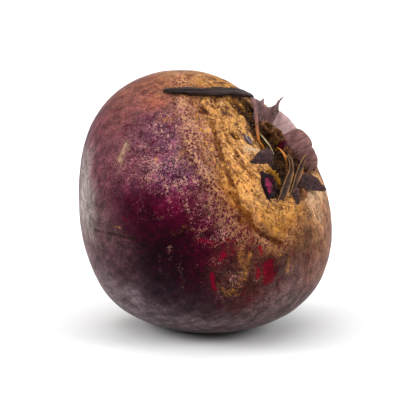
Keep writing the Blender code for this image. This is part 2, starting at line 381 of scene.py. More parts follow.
def mesh_object(
    name: str, points: np.ndarray, faces: list, fields: dict[str, np.ndarray]
) -> bpy.types.Object:
    """Makes a smooth mesh object at the origin.

    Args:
        name: the piece's name.
        points: its vertices, in the frame.
        faces: vertex numbers of each face.
        fields: numbers, vectors or colours that each vertex carries, by name.

    Returns:
        The object, linked to the scene.
    """
    mesh = bpy.data.meshes.new(name)
    mesh.from_pydata(points, [], faces)
    face_outwards(mesh)
    store_fields(mesh, fields)
    mesh.shade_smooth()
    made = bpy.data.objects.new(name, mesh)
    bpy.context.scene.collection.objects.link(made)
    return made


def face_outwards(mesh: bpy.types.Mesh) -> None:
    """Turns every face of a closed mesh outwards."""
    shape = bmesh.new()
    shape.from_mesh(mesh)
    bmesh.ops.recalc_face_normals(shape, faces=shape.faces)
    if shape.calc_volume(signed=True) < 0:
        bmesh.ops.reverse_faces(shape, faces=shape.faces)
    shape.to_mesh(mesh)
    shape.free()


def store_fields(mesh: bpy.types.Mesh, fields: dict[str, np.ndarray]) -> None:
    """Stores a number, vector or colour on each vertex, by its width of 1, 3 or 4."""
    kinds = {1: ("FLOAT", "value"), 3: ("FLOAT_VECTOR", "vector"), 4: ("FLOAT_COLOR", "color")}
    for name, values in fields.items():
        width = 1 if values.ndim == 1 else values.shape[1]
        kind, key = kinds[width]
        layer = mesh.attributes.new(name, kind, "POINT")
        layer.data.foreach_set(key, values.astype(np.float32).ravel())


@dataclass
class Grower(Arithmetic):
    """A geometry node tree with named inputs, run once on a piece and then turned into plain mesh."""

    name: str
    tree: bpy.types.NodeTree = field(init=False)
    entry: bpy.types.Node = field(init=False)
    sockets: dict[str, str] = field(default_factory=dict)

    def __post_init__(self) -> None:
        """Makes the tree with its geometry sockets."""
        self.tree = bpy.data.node_groups.new(self.name, "GeometryNodeTree")
        self.tree.interface.new_socket("Geometry", in_out="INPUT", socket_type="NodeSocketGeometry")
        self.tree.interface.new_socket("Geometry", in_out="OUTPUT", socket_type="NodeSocketGeometry")

    def declare(self, **kinds: str) -> None:
        """Adds the named inputs, each with its socket type, and the node that they come in by."""
        for name, kind in kinds.items():
            label = name.replace("_", " ").title()
            socket = self.tree.interface.new_socket(label, in_out="INPUT", socket_type="NodeSocket" + kind)
            self.sockets[name] = socket.identifier
        self.entry = self.tree.nodes.new("NodeGroupInput")

    def input(self, name: str) -> Socket:
        """The socket that a named input comes in by."""
        return self.entry.outputs[name.replace("_", " ").title()]

    def add(self, kind: str, inputs: dict | None = None, **settings: object) -> bpy.types.Node:
        """Adds a node to the tree."""
        return add_node(self.tree, kind, inputs, **settings)

    def read(self, name: str, kind: str = "FLOAT") -> Socket:
        """Reads a named attribute."""
        inputs = {"Name": name}
        return self.add("GeometryNodeInputNamedAttribute", inputs, data_type=kind).outputs["Attribute"]

    def noise(self, size: object, detail: float = 3.0, output: str = "Fac", shift: object = None) -> Socket:
        """Cloudy noise at each point, with forms of this size in metres."""
        spot = self.add("GeometryNodeInputPosition").outputs[0]
        if shift is not None:
            offset = self.add("ShaderNodeCombineXYZ", {0: shift, 1: shift, 2: shift}).outputs[0]
            spot = self.add("ShaderNodeVectorMath", {0: spot, 1: offset}, operation="ADD").outputs[0]
        scale = self.maths("DIVIDE", 1.0, size)
        inputs = {"Vector": spot, "Scale": scale, "Detail": detail}
        return self.add("ShaderNodeTexNoise", inputs).outputs[output]

    def centred(self, colour: Socket) -> Socket:
        """Turns a noise colour into a vector around zero."""
        inputs = {0: colour, 1: (0.5, 0.5, 0.5)}
        return self.add("ShaderNodeVectorMath", inputs, operation="SUBTRACT").outputs[0]

    def scaled(self, vector: Socket, factor: Socket) -> Socket:
        """Multiplies a vector by a number."""
        inputs = {0: vector, "Scale": factor}
        return self.add("ShaderNodeVectorMath", inputs, operation="SCALE").outputs[0]

    def close(self, geometry: Socket) -> None:
        """Ends the tree: instances become real and the surface gets its material."""
        real = self.add("GeometryNodeRealizeInstances", {0: geometry}).outputs[0]
        smooth = self.add("GeometryNodeSetShadeSmooth", {0: real}).outputs[0]
        inputs = {"Geometry": smooth, "Material": self.input("material")}
        dressed = self.add("GeometryNodeSetMaterial", inputs)
        self.add("NodeGroupOutput", {0: dressed.outputs[0]})

    def run(self, piece: bpy.types.Object, **values: object) -> bpy.types.Object:
        """Grows the piece and leaves it a plain mesh.

        Args:
            piece: the object that is changed.
            values: a value for each named input.

        Returns:
            The same object.
        """
        modifier = piece.modifiers.new(self.name, "NODES")
        modifier.node_group = self.tree
        for name, value in values.items():
            modifier[self.sockets[name]] = value
        bpy.context.view_layer.update()
        graph = bpy.context.evaluated_depsgraph_get()
        grown = bpy.data.meshes.new_from_object(piece.evaluated_get(graph), depsgraph=graph)
        piece.modifiers.remove(modifier)
        old = piece.data
        piece.data = grown
        grown.name = piece.name
        bpy.data.meshes.remove(old)
        return piece


def relief_grower() -> Grower:
    """Raises the fine relief of the skin: cork warts and rings at the crown, soft dimples elsewhere."""
    grower = Grower("skin_relief")
    grower.declare(cork_height="Float", cork_size="Float", dimple_depth="Float", dimple_size="Float",
                   ring_height="Float", floor="Float", material="Material")
    cork, rings, marks = (grower.read(name) for name in ("cork", "rings", "marks"))
    lumps = grower.maths("SUBTRACT", grower.noise(grower.input("cork_size"), 4.0), 0.5)
    lumps = grower.times(lumps, cork, grower.input("cork_height"))
    dimples = grower.maths("SUBTRACT", grower.noise(grower.input("dimple_size"), 3.0, shift=0.4), 0.5)
    dimples = grower.times(dimples, grower.input("dimple_depth"))
    ridges = grower.times(rings, grower.input("ring_height"))
    height = grower.maths("ADD", grower.maths("ADD", lumps, dimples), grower.maths("ADD", ridges, marks))
    offset = grower.scaled(grower.add("GeometryNodeInputNormal").outputs[0], height)
    moved = grower.add("GeometryNodeSetPosition", {"Geometry": grower.input("geometry"), "Offset": offset})
    spot = grower.add("GeometryNodeInputPosition").outputs[0]
    parts = grower.add("ShaderNodeSeparateXYZ", {0: spot}).outputs
    level = grower.maths("MAXIMUM", parts[2], grower.input("floor"))
    flat = grower.add("ShaderNodeCombineXYZ", {0: parts[0], 1: parts[1], 2: level}).outputs[0]
    kept = grower.add("GeometryNodeSetPosition", {"Geometry": moved.outputs[0], "Position": flat})
    share = grower.maths("DIVIDE", height, grower.input("cork_height"))
    noted = grower.add("GeometryNodeStoreNamedAttribute",
                       {"Geometry": kept.outputs[0], "Name": "relief", "Value": share}, domain="POINT")
    grower.close(noted.outputs[0])
    return grower


def shrivel_grower() -> Grower:
    """Warps a dried piece, the more so the looser each point is."""
    grower = Grower("shrivel")
    grower.declare(warp="Float", fold_size="Float", pucker="Float", pucker_size="Float", seed="Float",
                   material="Material")
    loose = grower.read("loose")
    sway = grower.centred(grower.noise(grower.input("fold_size"), 2.0, "Color", grower.input("seed")))
    sway = grower.scaled(sway, grower.times(loose, grower.input("warp")))
    swayed = grower.add("GeometryNodeSetPosition", {"Geometry": grower.input("geometry"), "Offset": sway})
    crease = grower.noise(grower.input("pucker_size"), 3.0, shift=grower.input("seed"))
    crease = grower.times(grower.maths("SUBTRACT", crease, 0.5), grower.input("pucker"))
    offset = grower.scaled(grower.add("GeometryNodeInputNormal").outputs[0], crease)
    creased = grower.add("GeometryNodeSetPosition", {"Geometry": swayed.outputs[0], "Offset": offset})
    grower.close(creased.outputs[0])
    return grower


def crumb_grower() -> Grower:
    """Scatters small crumbs of cork over a skin, thickest where the named field is strong."""
    grower = Grower("crumbs")
    grower.declare(density="Float", least="Float", most="Float", seed="Int", material="Material")
    amount = grower.times(grower.read("crumbs"), grower.input("density"))
    inputs = {"Mesh": grower.input("geometry"), "Density": amount, "Seed": grower.input("seed")}
    spots = grower.add("GeometryNodeDistributePointsOnFaces", inputs, distribute_method="RANDOM")
    crumb = grower.add("GeometryNodeMeshIcoSphere", {"Radius": 1.0, "Subdivisions": 2}).outputs[0]
    ragged = grower.add("ShaderNodeTexNoise", {"Scale": 1.3, "Detail": 2.0}).outputs["Color"]
    inputs = {"Geometry": crumb, "Offset": grower.centred(ragged)}
    crumb = grower.add("GeometryNodeSetPosition", inputs).outputs[0]
    size = grower.add("FunctionNodeRandomValue", {2: grower.input("least"), 3: grower.input("most"),
                                                  "Seed": grower.input("seed")}, data_type="FLOAT").outputs[1]
    squash = grower.add("ShaderNodeCombineXYZ", {0: size, 1: size, 2: grower.times(size, 0.55)})
    inputs = {"Points": spots.outputs["Points"], "Instance": crumb, "Rotation": spots.outputs["Rotation"],
              "Scale": squash.outputs[0]}
    placed = grower.add("GeometryNodeInstanceOnPoints", inputs)
    grower.close(placed.outputs[0])
    return grower


def fibre_grower() -> Grower:
    """Plants bent fibres over a skin, thickest where the named field is strong."""
    grower = Grower("fibres")
    grower.declare(density="Float", length="Float", thickness="Float", bend="Float", lie="Float", seed="Int",
                   material="Material")
    amount = grower.times(grower.read("fibres"), grower.input("density"))
    inputs = {"Mesh": grower.input("geometry"), "Density": amount, "Seed": grower.input("seed")}
    spots = grower.add("GeometryNodeDistributePointsOnFaces", inputs, distribute_method="RANDOM")
    bend = grower.input("bend")
    middle = grower.add("ShaderNodeCombineXYZ", {0: bend, 1: 0.0, 2: 0.45}).outputs[0]
    tip = grower.add("ShaderNodeCombineXYZ", {0: 0.0, 1: grower.times(bend, 0.6), 2: 1.0}).outputs[0]
    inputs = {"Resolution": 7, "Start": (0.0, 0.0, -0.12), "Middle": middle, "End": tip}
    strand = grower.add("GeometryNodeCurveQuadraticBezier", inputs).outputs[0]
    inputs = {"Resolution": 5, "Radius": grower.input("thickness")}
    ring = grower.add("GeometryNodeCurvePrimitiveCircle", inputs).outputs[0]
    inputs = {"Curve": strand, "Profile Curve": ring, "Fill Caps": True}
    tube = grower.add("GeometryNodeCurveToMesh", inputs).outputs[0]
    lie = grower.input("lie")
    back = grower.times(lie, -1.0)
    low = grower.add("ShaderNodeCombineXYZ", {0: back, 1: back, 2: -math.pi}).outputs[0]
    high = grower.add("ShaderNodeCombineXYZ", {0: lie, 1: lie, 2: math.pi}).outputs[0]
    tilt = grower.add("FunctionNodeRandomValue", {0: low, 1: high, "Seed": grower.input("seed")},
                      data_type="FLOAT_VECTOR").outputs[0]
    inputs = {0: spots.outputs["Rotation"], 1: tilt}
    turned = grower.add("FunctionNodeRotateRotation", inputs, rotation_space="LOCAL").outputs[0]
    length = grower.input("length")
    size = grower.add("FunctionNodeRandomValue", {2: grower.times(length, 0.4), 3: length,
                                                  "Seed": grower.input("seed")}, data_type="FLOAT").outputs[1]
    inputs = {"Points": spots.outputs["Points"], "Instance": tube, "Rotation": turned, "Scale": size}
    placed = grower.add("GeometryNodeInstanceOnPoints", inputs)
    grower.close(placed.outputs[0])
    return grower


# --------------------------------------------------------------------------------------------------
# Finishes
# --------------------------------------------------------------------------------------------------


@dataclass(frozen=True)
class BeetSkin:
    """The root's skin: waxy maroon periderm, dusty where it is rubbed, and matt ochre cork at the crown.

    Its broad tones, marks and zones come from the mesh. The periderm gives a soft gloss that whitens
    towards the edges; the cork is rough and mottled.
    """

    name: str = "beetroot_periderm_and_cork"
    dust: str = "#eabbaa"
    pore: str = "#2c0b1a"
    wine: str = "#6a0f34"
    cork_light: str = "#f4ba76"
    cork_deep: str = "#a05e3c"
    cork_pit: str = "#421a2a"
    groove: str = "#4c2830"
    net: str = "#eebd96"
    graze: str = "#a81a3a"
    # Also the painted highlight along the collar's ridge.
    scab: str = "#d29a64"
    # Also painted shade in the collar's groove and at the plug's rim.
    rot: str = "#271812"
    chalk: str = "#dcc0a0"
    moss: str = "#2b2a1c"
    # Painted shade: the tint laid in the sunken parts of the relief.
    valley_shade: str = "#7a5050"
    bare: str = "#52233a"
    pink: str = "#c48090"
    speck_mm: float = 0.75
    mottle_mm: float = 3.2
    cell_mm: float = 1.5

    def material(self) -> bpy.types.Material:
        """Builds the skin.

        Returns:
            The material.
        """
        made = new_material(self.name)
        paint = Painter(made)
        cork, band, dust, smooth = (paint.attribute(name) for name in ("cork", "band", "dust", "smooth"))
        busy = paint.maths("SUBTRACT", 1.0, paint.times(smooth, 0.85))
        colour = self._ground(paint)
        colour = self._specks(paint, colour, dust, busy)
        colour = self._band(paint, colour, band)
        colour = self._cork(paint, colour, cork)
        colour = self._marks(paint, colour)
        grit = paint.times(paint.grain(1.4 * MM), 0.5)
        rotted = paint.rise(paint.maths("ADD", paint.attribute("hollow"), grit), 0.45, 0.95)
        colour = paint.layer(colour, self.rot, rotted)
        # Painted shade: the skin is tinted darker where its relief sinks, between cork lumps, in dimples,
        # grooves and the hollow.
        low = paint.rise(paint.attribute("relief"), 0.02, -0.22)
        colour = paint.layer(colour, self.valley_shade, paint.times(low, 0.75), Blend.TINT)
        fine = paint.grain(0.5 * MM, 4.0, 0.75)
        pits = paint.rise(paint.cells(1.1 * MM), 0.0, 0.5)
        normal = paint.bump(pits, 0.12 * MM, 0.35)
        normal = paint.bump(fine, 0.25 * MM, paint.span(busy, 0.1, 0.7), normal)
        rough = paint.maths("ADD", paint.span(cork, 0.43, 0.72), paint.times(fine, 0.15))
        calm = paint.times(paint.maths("MAXIMUM", cork, paint.attribute("scab")), 0.2)
        rich = paint.maths("SUBTRACT", 1.27, paint.maths("MAXIMUM", calm, paint.times(dust, 0.1)))
        set_shader(made, Base_Color=paint.settled(colour, 0.58, rich), Roughness=rough, Normal=normal)
        set_shader(made, Specular_IOR_Level=0.03, Sheen_Weight=0.17, Sheen_Roughness=0.17)
        return made

    def _ground(self, paint: Painter) -> Socket:
        """The broad tone with its clouds and the streaks that run from crown to tail."""
        tone = paint.attribute("tone", "Color")
        cloud = paint.span(paint.rise(paint.grain(self.mottle_mm * MM, 5.0, 0.65, 0.6), 0.3, 0.7), 0.55, 1.5)
        around = paint.attribute("around", "Vector")
        run = paint.grain(1.0, 4.0, 0.6, 0.2, (13.0, 13.0, 2.2), around)
        run = paint.span(paint.rise(run, 0.32, 0.68), 0.75, 1.3)
        pepper = paint.span(paint.rise(paint.grain(0.45 * MM, 2.0, 0.6), 0.36, 0.64), 0.7, 1.35)
        return paint.gain(tone, paint.times(cloud, run, pepper))

    def _cork(self, paint: Painter, colour: object, cork: object) -> Socket:
        """The mottled cork: a pale mesh over orange brown, purple pits and dark grooves round the crown."""
        around = paint.attribute("around", "Vector")
        shaken = paint.stirred(1.2 * MM, 1.3 * MM)
        deep = paint.rise(paint.grain(2.2 * MM, 4.0, 0.7, 0.8), 0.48, 0.64)
        colour = paint.layer(colour, self.cork_deep, paint.times(deep, cork, 0.7))
        edge = paint.cells(self.cell_mm * MM, "DISTANCE_TO_EDGE", shaken)
        torn = paint.rise(paint.grain(1.8 * MM), 0.38, 0.56)
        thread = paint.times(paint.rise(edge, 0.17, 0.03), torn)
        colour = paint.layer(colour, self.cork_light, paint.times(thread, cork, 0.75))
        smooth_patch = paint.rise(paint.grain(3.4 * MM, 3.0, 0.6, 0.7), 0.5, 0.62)
        colour = paint.layer(colour, self.cork_light, paint.times(smooth_patch, cork, 0.5))
        middle = paint.rise(paint.cells(1.25 * self.cell_mm * MM, "F1", shaken), 0.36, 0.12)
        cluster = paint.rise(paint.grain(3.0 * MM, 3.0, 0.65, 0.6), 0.44, 0.54)
        colour = paint.layer(colour, self.cork_pit, paint.times(middle, cluster, cork, 0.95))
        rings = paint.rise(paint.grain(1.0, 5.0, 0.65, 0.35, (3.0, 3.0, 34.0), around), 0.5, 0.38)
        colour = paint.layer(colour, self.groove, paint.times(rings, cork, 0.7))
        crack = paint.rise(paint.grain(1.0, 4.0, 0.7, 0.6, (13.0, 13.0, 6.0), around), 0.45, 0.36)
        return paint.layer(colour, self.groove, paint.times(crack, cork, 0.8))

    def _band(self, paint: Painter, colour: object, band: object) -> Socket:
        """The rim of the cork: a cream net torn open over purple skin."""
        shaken = paint.stirred(0.9 * MM, 1.6 * MM)
        colour = paint.layer(colour, self.bare, paint.times(band, 0.8))
        edge = paint.rise(paint.cells(1.15 * MM, "DISTANCE_TO_EDGE", shaken), 0.18, 0.05)
        gate = paint.rise(paint.grain(1.5 * MM, 3.0, 0.7), 0.38, 0.52)
        amount = paint.times(edge, gate, band)
        return paint.layer(colour, self.net, amount)

    def _specks(self, paint: Painter, colour: object, dust: object, busy: object) -> Socket:
        """The grain of rubbed skin: dark pores and pale flecks, thickest where it is dusty."""
        fleck = paint.grain(self.speck_mm * MM, 3.0, 0.75, 1.6)
        patch = paint.grain(4.5 * MM, 3.0, 0.6, 0.5)
        level = paint.maths("ADD", fleck, paint.times(paint.maths("SUBTRACT", patch, 0.5), 0.35))
        hole = paint.times(paint.rise(level, 0.49, 0.38), paint.times(busy, 0.9))
        colour = paint.layer(colour, self.pore, hole)
        wine = paint.times(paint.rise(paint.grain(2.4 * MM, 3.0, 0.6, 1.0), 0.54, 0.68), busy)
        colour = paint.layer(colour, self.wine, paint.times(wine, 0.4))
        thick = paint.maths("ADD", level, paint.times(paint.maths("SUBTRACT", dust, 1.0), 0.17))
        pale = paint.times(paint.rise(thick, 0.515, 0.605), paint.times(busy, 0.95))
        tint = paint.layer(self.dust, self.pink, paint.rise(paint.grain(2.6 * MM), 0.45, 0.6))
        return paint.layer(colour, tint, pale)

    def _marks(self, paint: Painter, colour: object) -> Socket:
        """Grazes, scabs and scratches, each broken into flecks, with the painted highlight and painted shade
        that the scab and rot fields also carry.
        """
        grit = paint.maths("SUBTRACT", paint.grain(1.0 * MM, 4.0, 0.75, 1.2), 0.5)
        grit = paint.times(grit, 1.8)
        broken = paint.span(paint.rise(paint.grain(0.8 * MM, 3.0, 0.75, 1.4), 0.42, 0.56), 0.2, 1.0)
        for stain, shade in ((Stain.SCAB, self.scab), (Stain.GRAZE, self.graze), (Stain.CHALK, self.chalk),
                             (Stain.ROT, self.rot), (Stain.MOSS, self.moss)):
            there = paint.attribute(stain.value)
            noisy = paint.maths("ADD", there, paint.times(grit, paint.rise(there, 0.02, 0.3)))
            flecks = broken if stain in (Stain.SCAB, Stain.GRAZE, Stain.CHALK) else 1.0
            amount = paint.times(paint.rise(noisy, 0.3, 0.85), flecks, 0.9)
            colour = paint.layer(colour, shade, amount)
        return colour


@dataclass(frozen=True)
class DryTissue:
    """A dried part of a leaf stalk: shrunken, fibrous along its length and matt, paler at its thin edges."""

    name: str
    body: str
    dark: str
    fibre: str
    edge: str
    roughness: float = 0.72
    fibre_mm: float = 0.35
    edge_share: float = 0.7
    contrast: float = 0.8
    tip: str = ""

    def material(self) -> bpy.types.Material:
        """Builds the tissue.

        Returns:
            The material.
        """
        made = new_material(self.name)
        paint = Painter(made)
        along = paint.attribute("grain", "Vector")
        streak = paint.grain(self.fibre_mm, 3.0, 0.6, 0.3, (1.0, 0.12, 1.0), along)
        blotch = paint.grain(1.6, 4.0, 0.6, 0.6, (1.0, 0.45, 1.0), along)
        colour = paint.layer(self.body, self.dark, paint.times(paint.rise(blotch, 0.56, 0.38), self.contrast))
        colour = paint.layer(colour, self.fibre, paint.times(paint.rise(streak, 0.52, 0.7), self.contrast))
        colour = paint.layer(colour, self.dark, paint.times(paint.rise(streak, 0.45, 0.3), self.contrast))
        if self.tip:
            colour = paint.layer(colour, self.tip, paint.rise(paint.attribute("loose"), 0.35, 0.8))
        rim = paint.times(paint.attribute("edge"), paint.rise(blotch, 0.3, 0.55))
        colour = paint.layer(colour, self.edge, paint.times(rim, self.edge_share))
        normal = paint.bump(streak, 0.12 * MM, 0.7)
        normal = paint.bump(paint.grain(0.5 * MM, 3.0), 0.1 * MM, 0.5, normal)
        set_shader(made, Base_Color=paint.settled(colour, 0.6), Roughness=self.roughness, Normal=normal)
        set_shader(made, Specular_IOR_Level=0.15)
        return made


@dataclass(frozen=True)
class CutFlesh:
    """A cut stalk foot: wet-looking magenta flesh shrinking inside a dark dried rim."""

    name: str = "cut_beet_flesh"
    core: str = "#a11f52"
    shade: str = "#4a1230"
    bright: str = "#e07aa0"
    rim: str = "#1c0c15"

    def material(self) -> bpy.types.Material:
        """Builds the flesh.

        Returns:
            The material.
        """
        made = new_material(self.name)
        paint = Painter(made)
        lumps = paint.grain(1.1 * MM, 3.0, 0.6, 0.8)
        fine = paint.grain(0.4 * MM, 3.0)
        core = paint.rise(paint.maths("ADD", paint.attribute("core"), paint.times(lumps, 0.6)), 0.72, 0.95)
        colour = paint.layer(self.shade, self.core, paint.rise(lumps, 0.4, 0.6))
        colour = paint.layer(colour, self.bright, paint.times(paint.rise(fine, 0.58, 0.72), 0.8))
        colour = paint.layer(self.rim, colour, core)
        normal = paint.bump(lumps, 0.5 * MM, 0.8)
        wet = paint.span(core, 0.75, 0.3)
        set_shader(made, Base_Color=paint.settled(colour), Roughness=wet, Normal=normal)
        set_shader(made, Specular_IOR_Level=0.12)
        return made


@dataclass(frozen=True)
class Crumble:
    """Cork crumbs or fine fibres: one matt tissue whose shade varies from piece to piece."""

    name: str
    light: str
    dark: str

    def material(self) -> bpy.types.Material:
        """Builds the tissue.

        Returns:
            The material.
        """
        made = new_material(self.name)
        paint = Painter(made)
        shade = paint.rise(paint.grain(1.7 * MM, 3.0, 0.7), 0.4, 0.62)
        colour = paint.layer(self.dark, self.light, shade)
        set_shader(made, Base_Color=paint.settled(colour), Roughness=0.8, Specular_IOR_Level=0.1)
        return made


LONG_STALK = DryTissue("shrivelled_black_stalk", "#2e2120", "#130d0e", "#5d4642", "#43322c", 0.6, 0.3, 0.4)
STRAP = DryTissue(
    "folded_mauve_stalk", "#7b6064", "#43312f", "#a88a86", "#b2783e", 0.65, 0.3, 0.4, 0.5, "#b0703a")
SHEATH = DryTissue("papery_mauve_sheath", "#6a4e4e", "#2c1c1b", "#ac8c8c", "#b09694", 0.65, 0.5, 0.6, 0.7)
SCALE = DryTissue("pale_mauve_stalk_foot", "#c2a6a4", "#8a6a6c", "#d2bcba", "#bfa3a3", 0.6, 0.9, 0.5, 0.5)
SCALE_DARK = DryTissue(
    "brown_mauve_stalk_foot", "#85625f", "#452c30", "#a98c88", "#a98a86", 0.6, 1.0, 0.5, 0.6)
DARK_SCRAP = DryTissue("dark_purple_grey_scrap", "#3e2a2c", "#180f10", "#7d5e58", "#6c4c40")
BROWN_SCRAP = DryTissue("brown_folded_stalk", "#2e1b17", "#130a0a", "#543527", "#b08866", 0.65, 0.45, 0.9)
YELLOW_SCRAP = DryTissue("ochre_torn_tissue", "#a8743c", "#5c3a1e", "#d6a860", "#d8ac70", 0.8)
DARK_FOOT = DryTissue("rotted_stalk_foot", "#674636", "#1c1311", "#b08252", "#8e6850")
GREY_CORK = DryTissue("healed_grey_cork", "#5c505a", "#3a303c", "#7c7078", "#c9b49c", 0.8, 0.5)
BUD = DryTissue("dried_red_bud", "#5e1a2e", "#300c18", "#943a50", "#8a4236", 0.5, 0.3)
STRAW = DryTissue("straw_fibre", "#b5a283", "#7d6a4d", "#dccba8", "#b5a283", 0.7, 0.2)
AMBER = DryTissue("amber_fibre", "#c98a5e", "#8a5133", "#e6b78e", "#c98a5e", 0.65, 0.2)


# --------------------------------------------------------------------------------------------------
# The root
# --------------------------------------------------------------------------------------------------


class Stain(Enum):
    """What a mark on the skin is. Each is a field that the skin's material reads."""

    DUST = "dust"
    GRAZE = "graze"
    # The scab field also lays the painted highlight along the collar's ridge.
    SCAB = "scab"
    # The rot field also lays painted shade in the collar's groove and at the plug's rim.
    ROT = "rot"
    CHALK = "chalk"
    MOSS = "moss"
    HOLLOW = "hollow"
    SMOOTH = "smooth"
    CRUMBS = "crumbs"


@dataclass(frozen=True)
class Tone:
    """A broad colour of the skin round a place, spread being how far it reaches, in degrees."""

    polar: float
    turn: float
    colour: str
    spread: float = 9.0


@dataclass(frozen=True)
class Mark:
    """A mark along a path of (polar, turn) on the skin, with its width in millimetres."""

    stain: Stain
    path: tuple[tuple[float, float], ...]
    width: float
    strength: float = 1.0
    raised: float = 0.0


@dataclass
class Root:
    """The swollen root, from its corky crown to the cut tail."""

    bulb: Bulb
    cuts: int = 125
    smoothing: int = 24
    collar_edge: tuple[float, ...] = (34, 30, 40, 50, 50, 50, 52, 48, 43, 46, 51, 47, 34)
    collar_softness: float = 4.0
    ring_angles: tuple[float, ...] = (24.0, 31.0, 37.5, 43.0, 48.0, 54.0)
    cork_height: float = 1.3 * MM
    cork_size: float = 3.6 * MM
    dimple_depth: float = 0.55 * MM
    dimple_size: float = 13 * MM
    ring_height: float = 0.22 * MM

    def build(self) -> bpy.types.Object:
        """Makes the skin as one closed mesh with its tones, marks and relief.

        Returns:
            The root.
        """
        piece = self._ball()
        mesh = piece.data
        points = np.zeros(len(mesh.vertices) * 3)
        mesh.vertices.foreach_get("co", points)
        local = self.bulb.local(points.reshape(-1, 3))
        store_fields(mesh, self._fields(local))
        relief_grower().run(
            piece, cork_height=self.cork_height, cork_size=self.cork_size, dimple_depth=self.dimple_depth,
            dimple_size=self.dimple_size, ring_height=self.ring_height, floor=0.0,
            material=BeetSkin().material())
        return piece

    def _ball(self) -> bpy.types.Object:
        """A ball of even quads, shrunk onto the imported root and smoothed."""
        shape = bmesh.new()
        bmesh.ops.create_cube(shape, size=2.0)
        bmesh.ops.subdivide_edges(shape, edges=shape.edges[:], cuts=self.cuts, use_grid_fill=True)
        for vertex in shape.verts:
            even = Vector([math.tan(c * math.pi / 4) for c in vertex.co]).normalized()
            vertex.co = self.bulb.skin(np.array(even))
        mesh = bpy.data.meshes.new("beet_root_skin")
        shape.to_mesh(mesh)
        shape.free()
        face_outwards(mesh)
        piece = bpy.data.objects.new("beet_root_skin", mesh)
        bpy.context.scene.collection.objects.link(piece)
        relax = piece.modifiers.new("relax", "SMOOTH")
        relax.iterations = self.smoothing
        bpy.context.view_layer.update()
        graph = bpy.context.evaluated_depsgraph_get()
        smooth = bpy.data.meshes.new_from_object(piece.evaluated_get(graph))
        piece.modifiers.remove(relax)
        piece.data = smooth
        bpy.data.meshes.remove(mesh)
        return piece

    def _fields(self, local: np.ndarray) -> dict[str, np.ndarray]:
        """Lays out the zones and marks.

        Args:
            local: the vertices in the bulb's axes, in millimetres.

        Returns:
            A field for each zone, by name.
        """
        reach = np.linalg.norm(local, axis=1)
        outward = local / reach[:, None]
        polar = np.degrees(np.arccos(np.clip(outward[:, 2], -1, 1)))
        turn = np.degrees(np.arctan2(local[:, 1], local[:, 0]))
        level = np.maximum(np.hypot(local[:, 0], local[:, 1]), 1e-6)
        noise = CloudyNoise(SEED)
        ragged = noise.at(local, 9.0, 4)
        edge = np.interp(turn % 360, np.linspace(0, 360, len(self.collar_edge)), self.collar_edge)
        beyond = polar - edge + 10 * ragged
        cork = 1 / (1 + np.exp(2.2 * beyond / self.collar_softness))
        band = np.exp(-(((beyond - 6) / 6) ** 2)) * (0.75 + 0.5 * noise.at(local + 20, 8.0, 2))
        band *= 0.5 + 0.5 * np.cos(np.radians(turn + 110))
        rings = sum(self._ring(polar + 1.6 * noise.at(local, 14.0, 2), angle) for angle in self.ring_angles)
        rings = rings * (0.55 + 0.45 * noise.at(local + 50, 10.0, 2))
        broken = np.clip(0.6 + 0.9 * noise.at(local + 33, 7.0, 3), 0, 1)
        lip = 0.8 * np.exp(-(((beyond + 1) / 1.6) ** 2)) - 0.6 * np.exp(-(((beyond - 2.2) / 1.4) ** 2))
        rings += broken * lip
        fields = {
            "tone": self._tones(outward, CloudyNoise(SEED + 1), local),
            "cork": cork,
            "band": np.clip(band, 0, 1),
            "rings": rings,
            "around": np.stack([local[:, 0] / level, local[:, 1] / level, np.radians(polar)], axis=1),
        }
        marks = np.zeros(len(local))
        for stain in Stain:
            fields[stain.value] = np.zeros(len(local))
        for mark in SKIN_MARKS:
            shape = self._mark(mark, local, noise)
            name = mark.stain.value
            fields[name] = np.maximum(fields[name], shape * mark.strength)
            marks += shape * mark.raised * MM
        fields["marks"] = marks
        fields["crumbs"] = fields["crumbs"] * np.clip(cork * 1.4 - 0.2, 0, 1)
        fields["fibres"] = fields["hollow"]
        return fields

    def _ring(self, polar: np.ndarray, angle: float) -> np.ndarray:
        """A soft ridge round the crown at this polar angle."""
        return np.exp(-(((polar - angle) / 1.5) ** 2)) - 0.8 * np.exp(-(((polar - angle - 2.6) / 1.3) ** 2))

    def _tones(self, outward: np.ndarray, noise: CloudyNoise, local: np.ndarray) -> np.ndarray:
        """Blends the broad tones, with edges stirred by noise."""
        stir = np.stack([noise.at(local + 40 * k, 7.0, 4) for k in range(3)], axis=1) * 0.13
        outward = outward + stir
        outward /= np.linalg.norm(outward, axis=1)[:, None]
        total = np.zeros((len(outward), 4))
        weights = np.full(len(outward), 1e-9)
        for tone in SKIN_TONES:
            angle = np.degrees(np.arccos(np.clip(outward @ heading(tone.polar, tone.turn), -1, 1)))
            weight = np.exp(-((angle / tone.spread) ** 2)) + 1e-4 * np.exp(-((angle / 60) ** 2))
            total += weight[:, None] * np.array(linear(tone.colour))
            weights += weight
        return total / weights[:, None]

    def _mark(self, mark: Mark, local: np.ndarray, noise: CloudyNoise) -> np.ndarray:
        """How strongly a mark shows at each vertex, from 0 to 1."""
        path = [self.bulb.local(self.bulb.skin(heading(*place))) for place in mark.path]
        wander = np.stack([noise.at(local + 70 * k, max(2.0, mark.width * 0.8), 3) for k in range(3)], axis=1)
        spots = local + wander * min(2.5, 0.35 * mark.width)
        nearest = np.full(len(local), 1e9)
        for start, end in zip(path, path[1:] or path):
            run = end - start
            share = np.clip((spots - start) @ run / max(run @ run, 1e-9), 0, 1)
            nearest = np.minimum(nearest, np.linalg.norm(spots - start - share[:, None] * run, axis=1))
        return np.exp(-((nearest / (mark.width / 2)) ** 2))


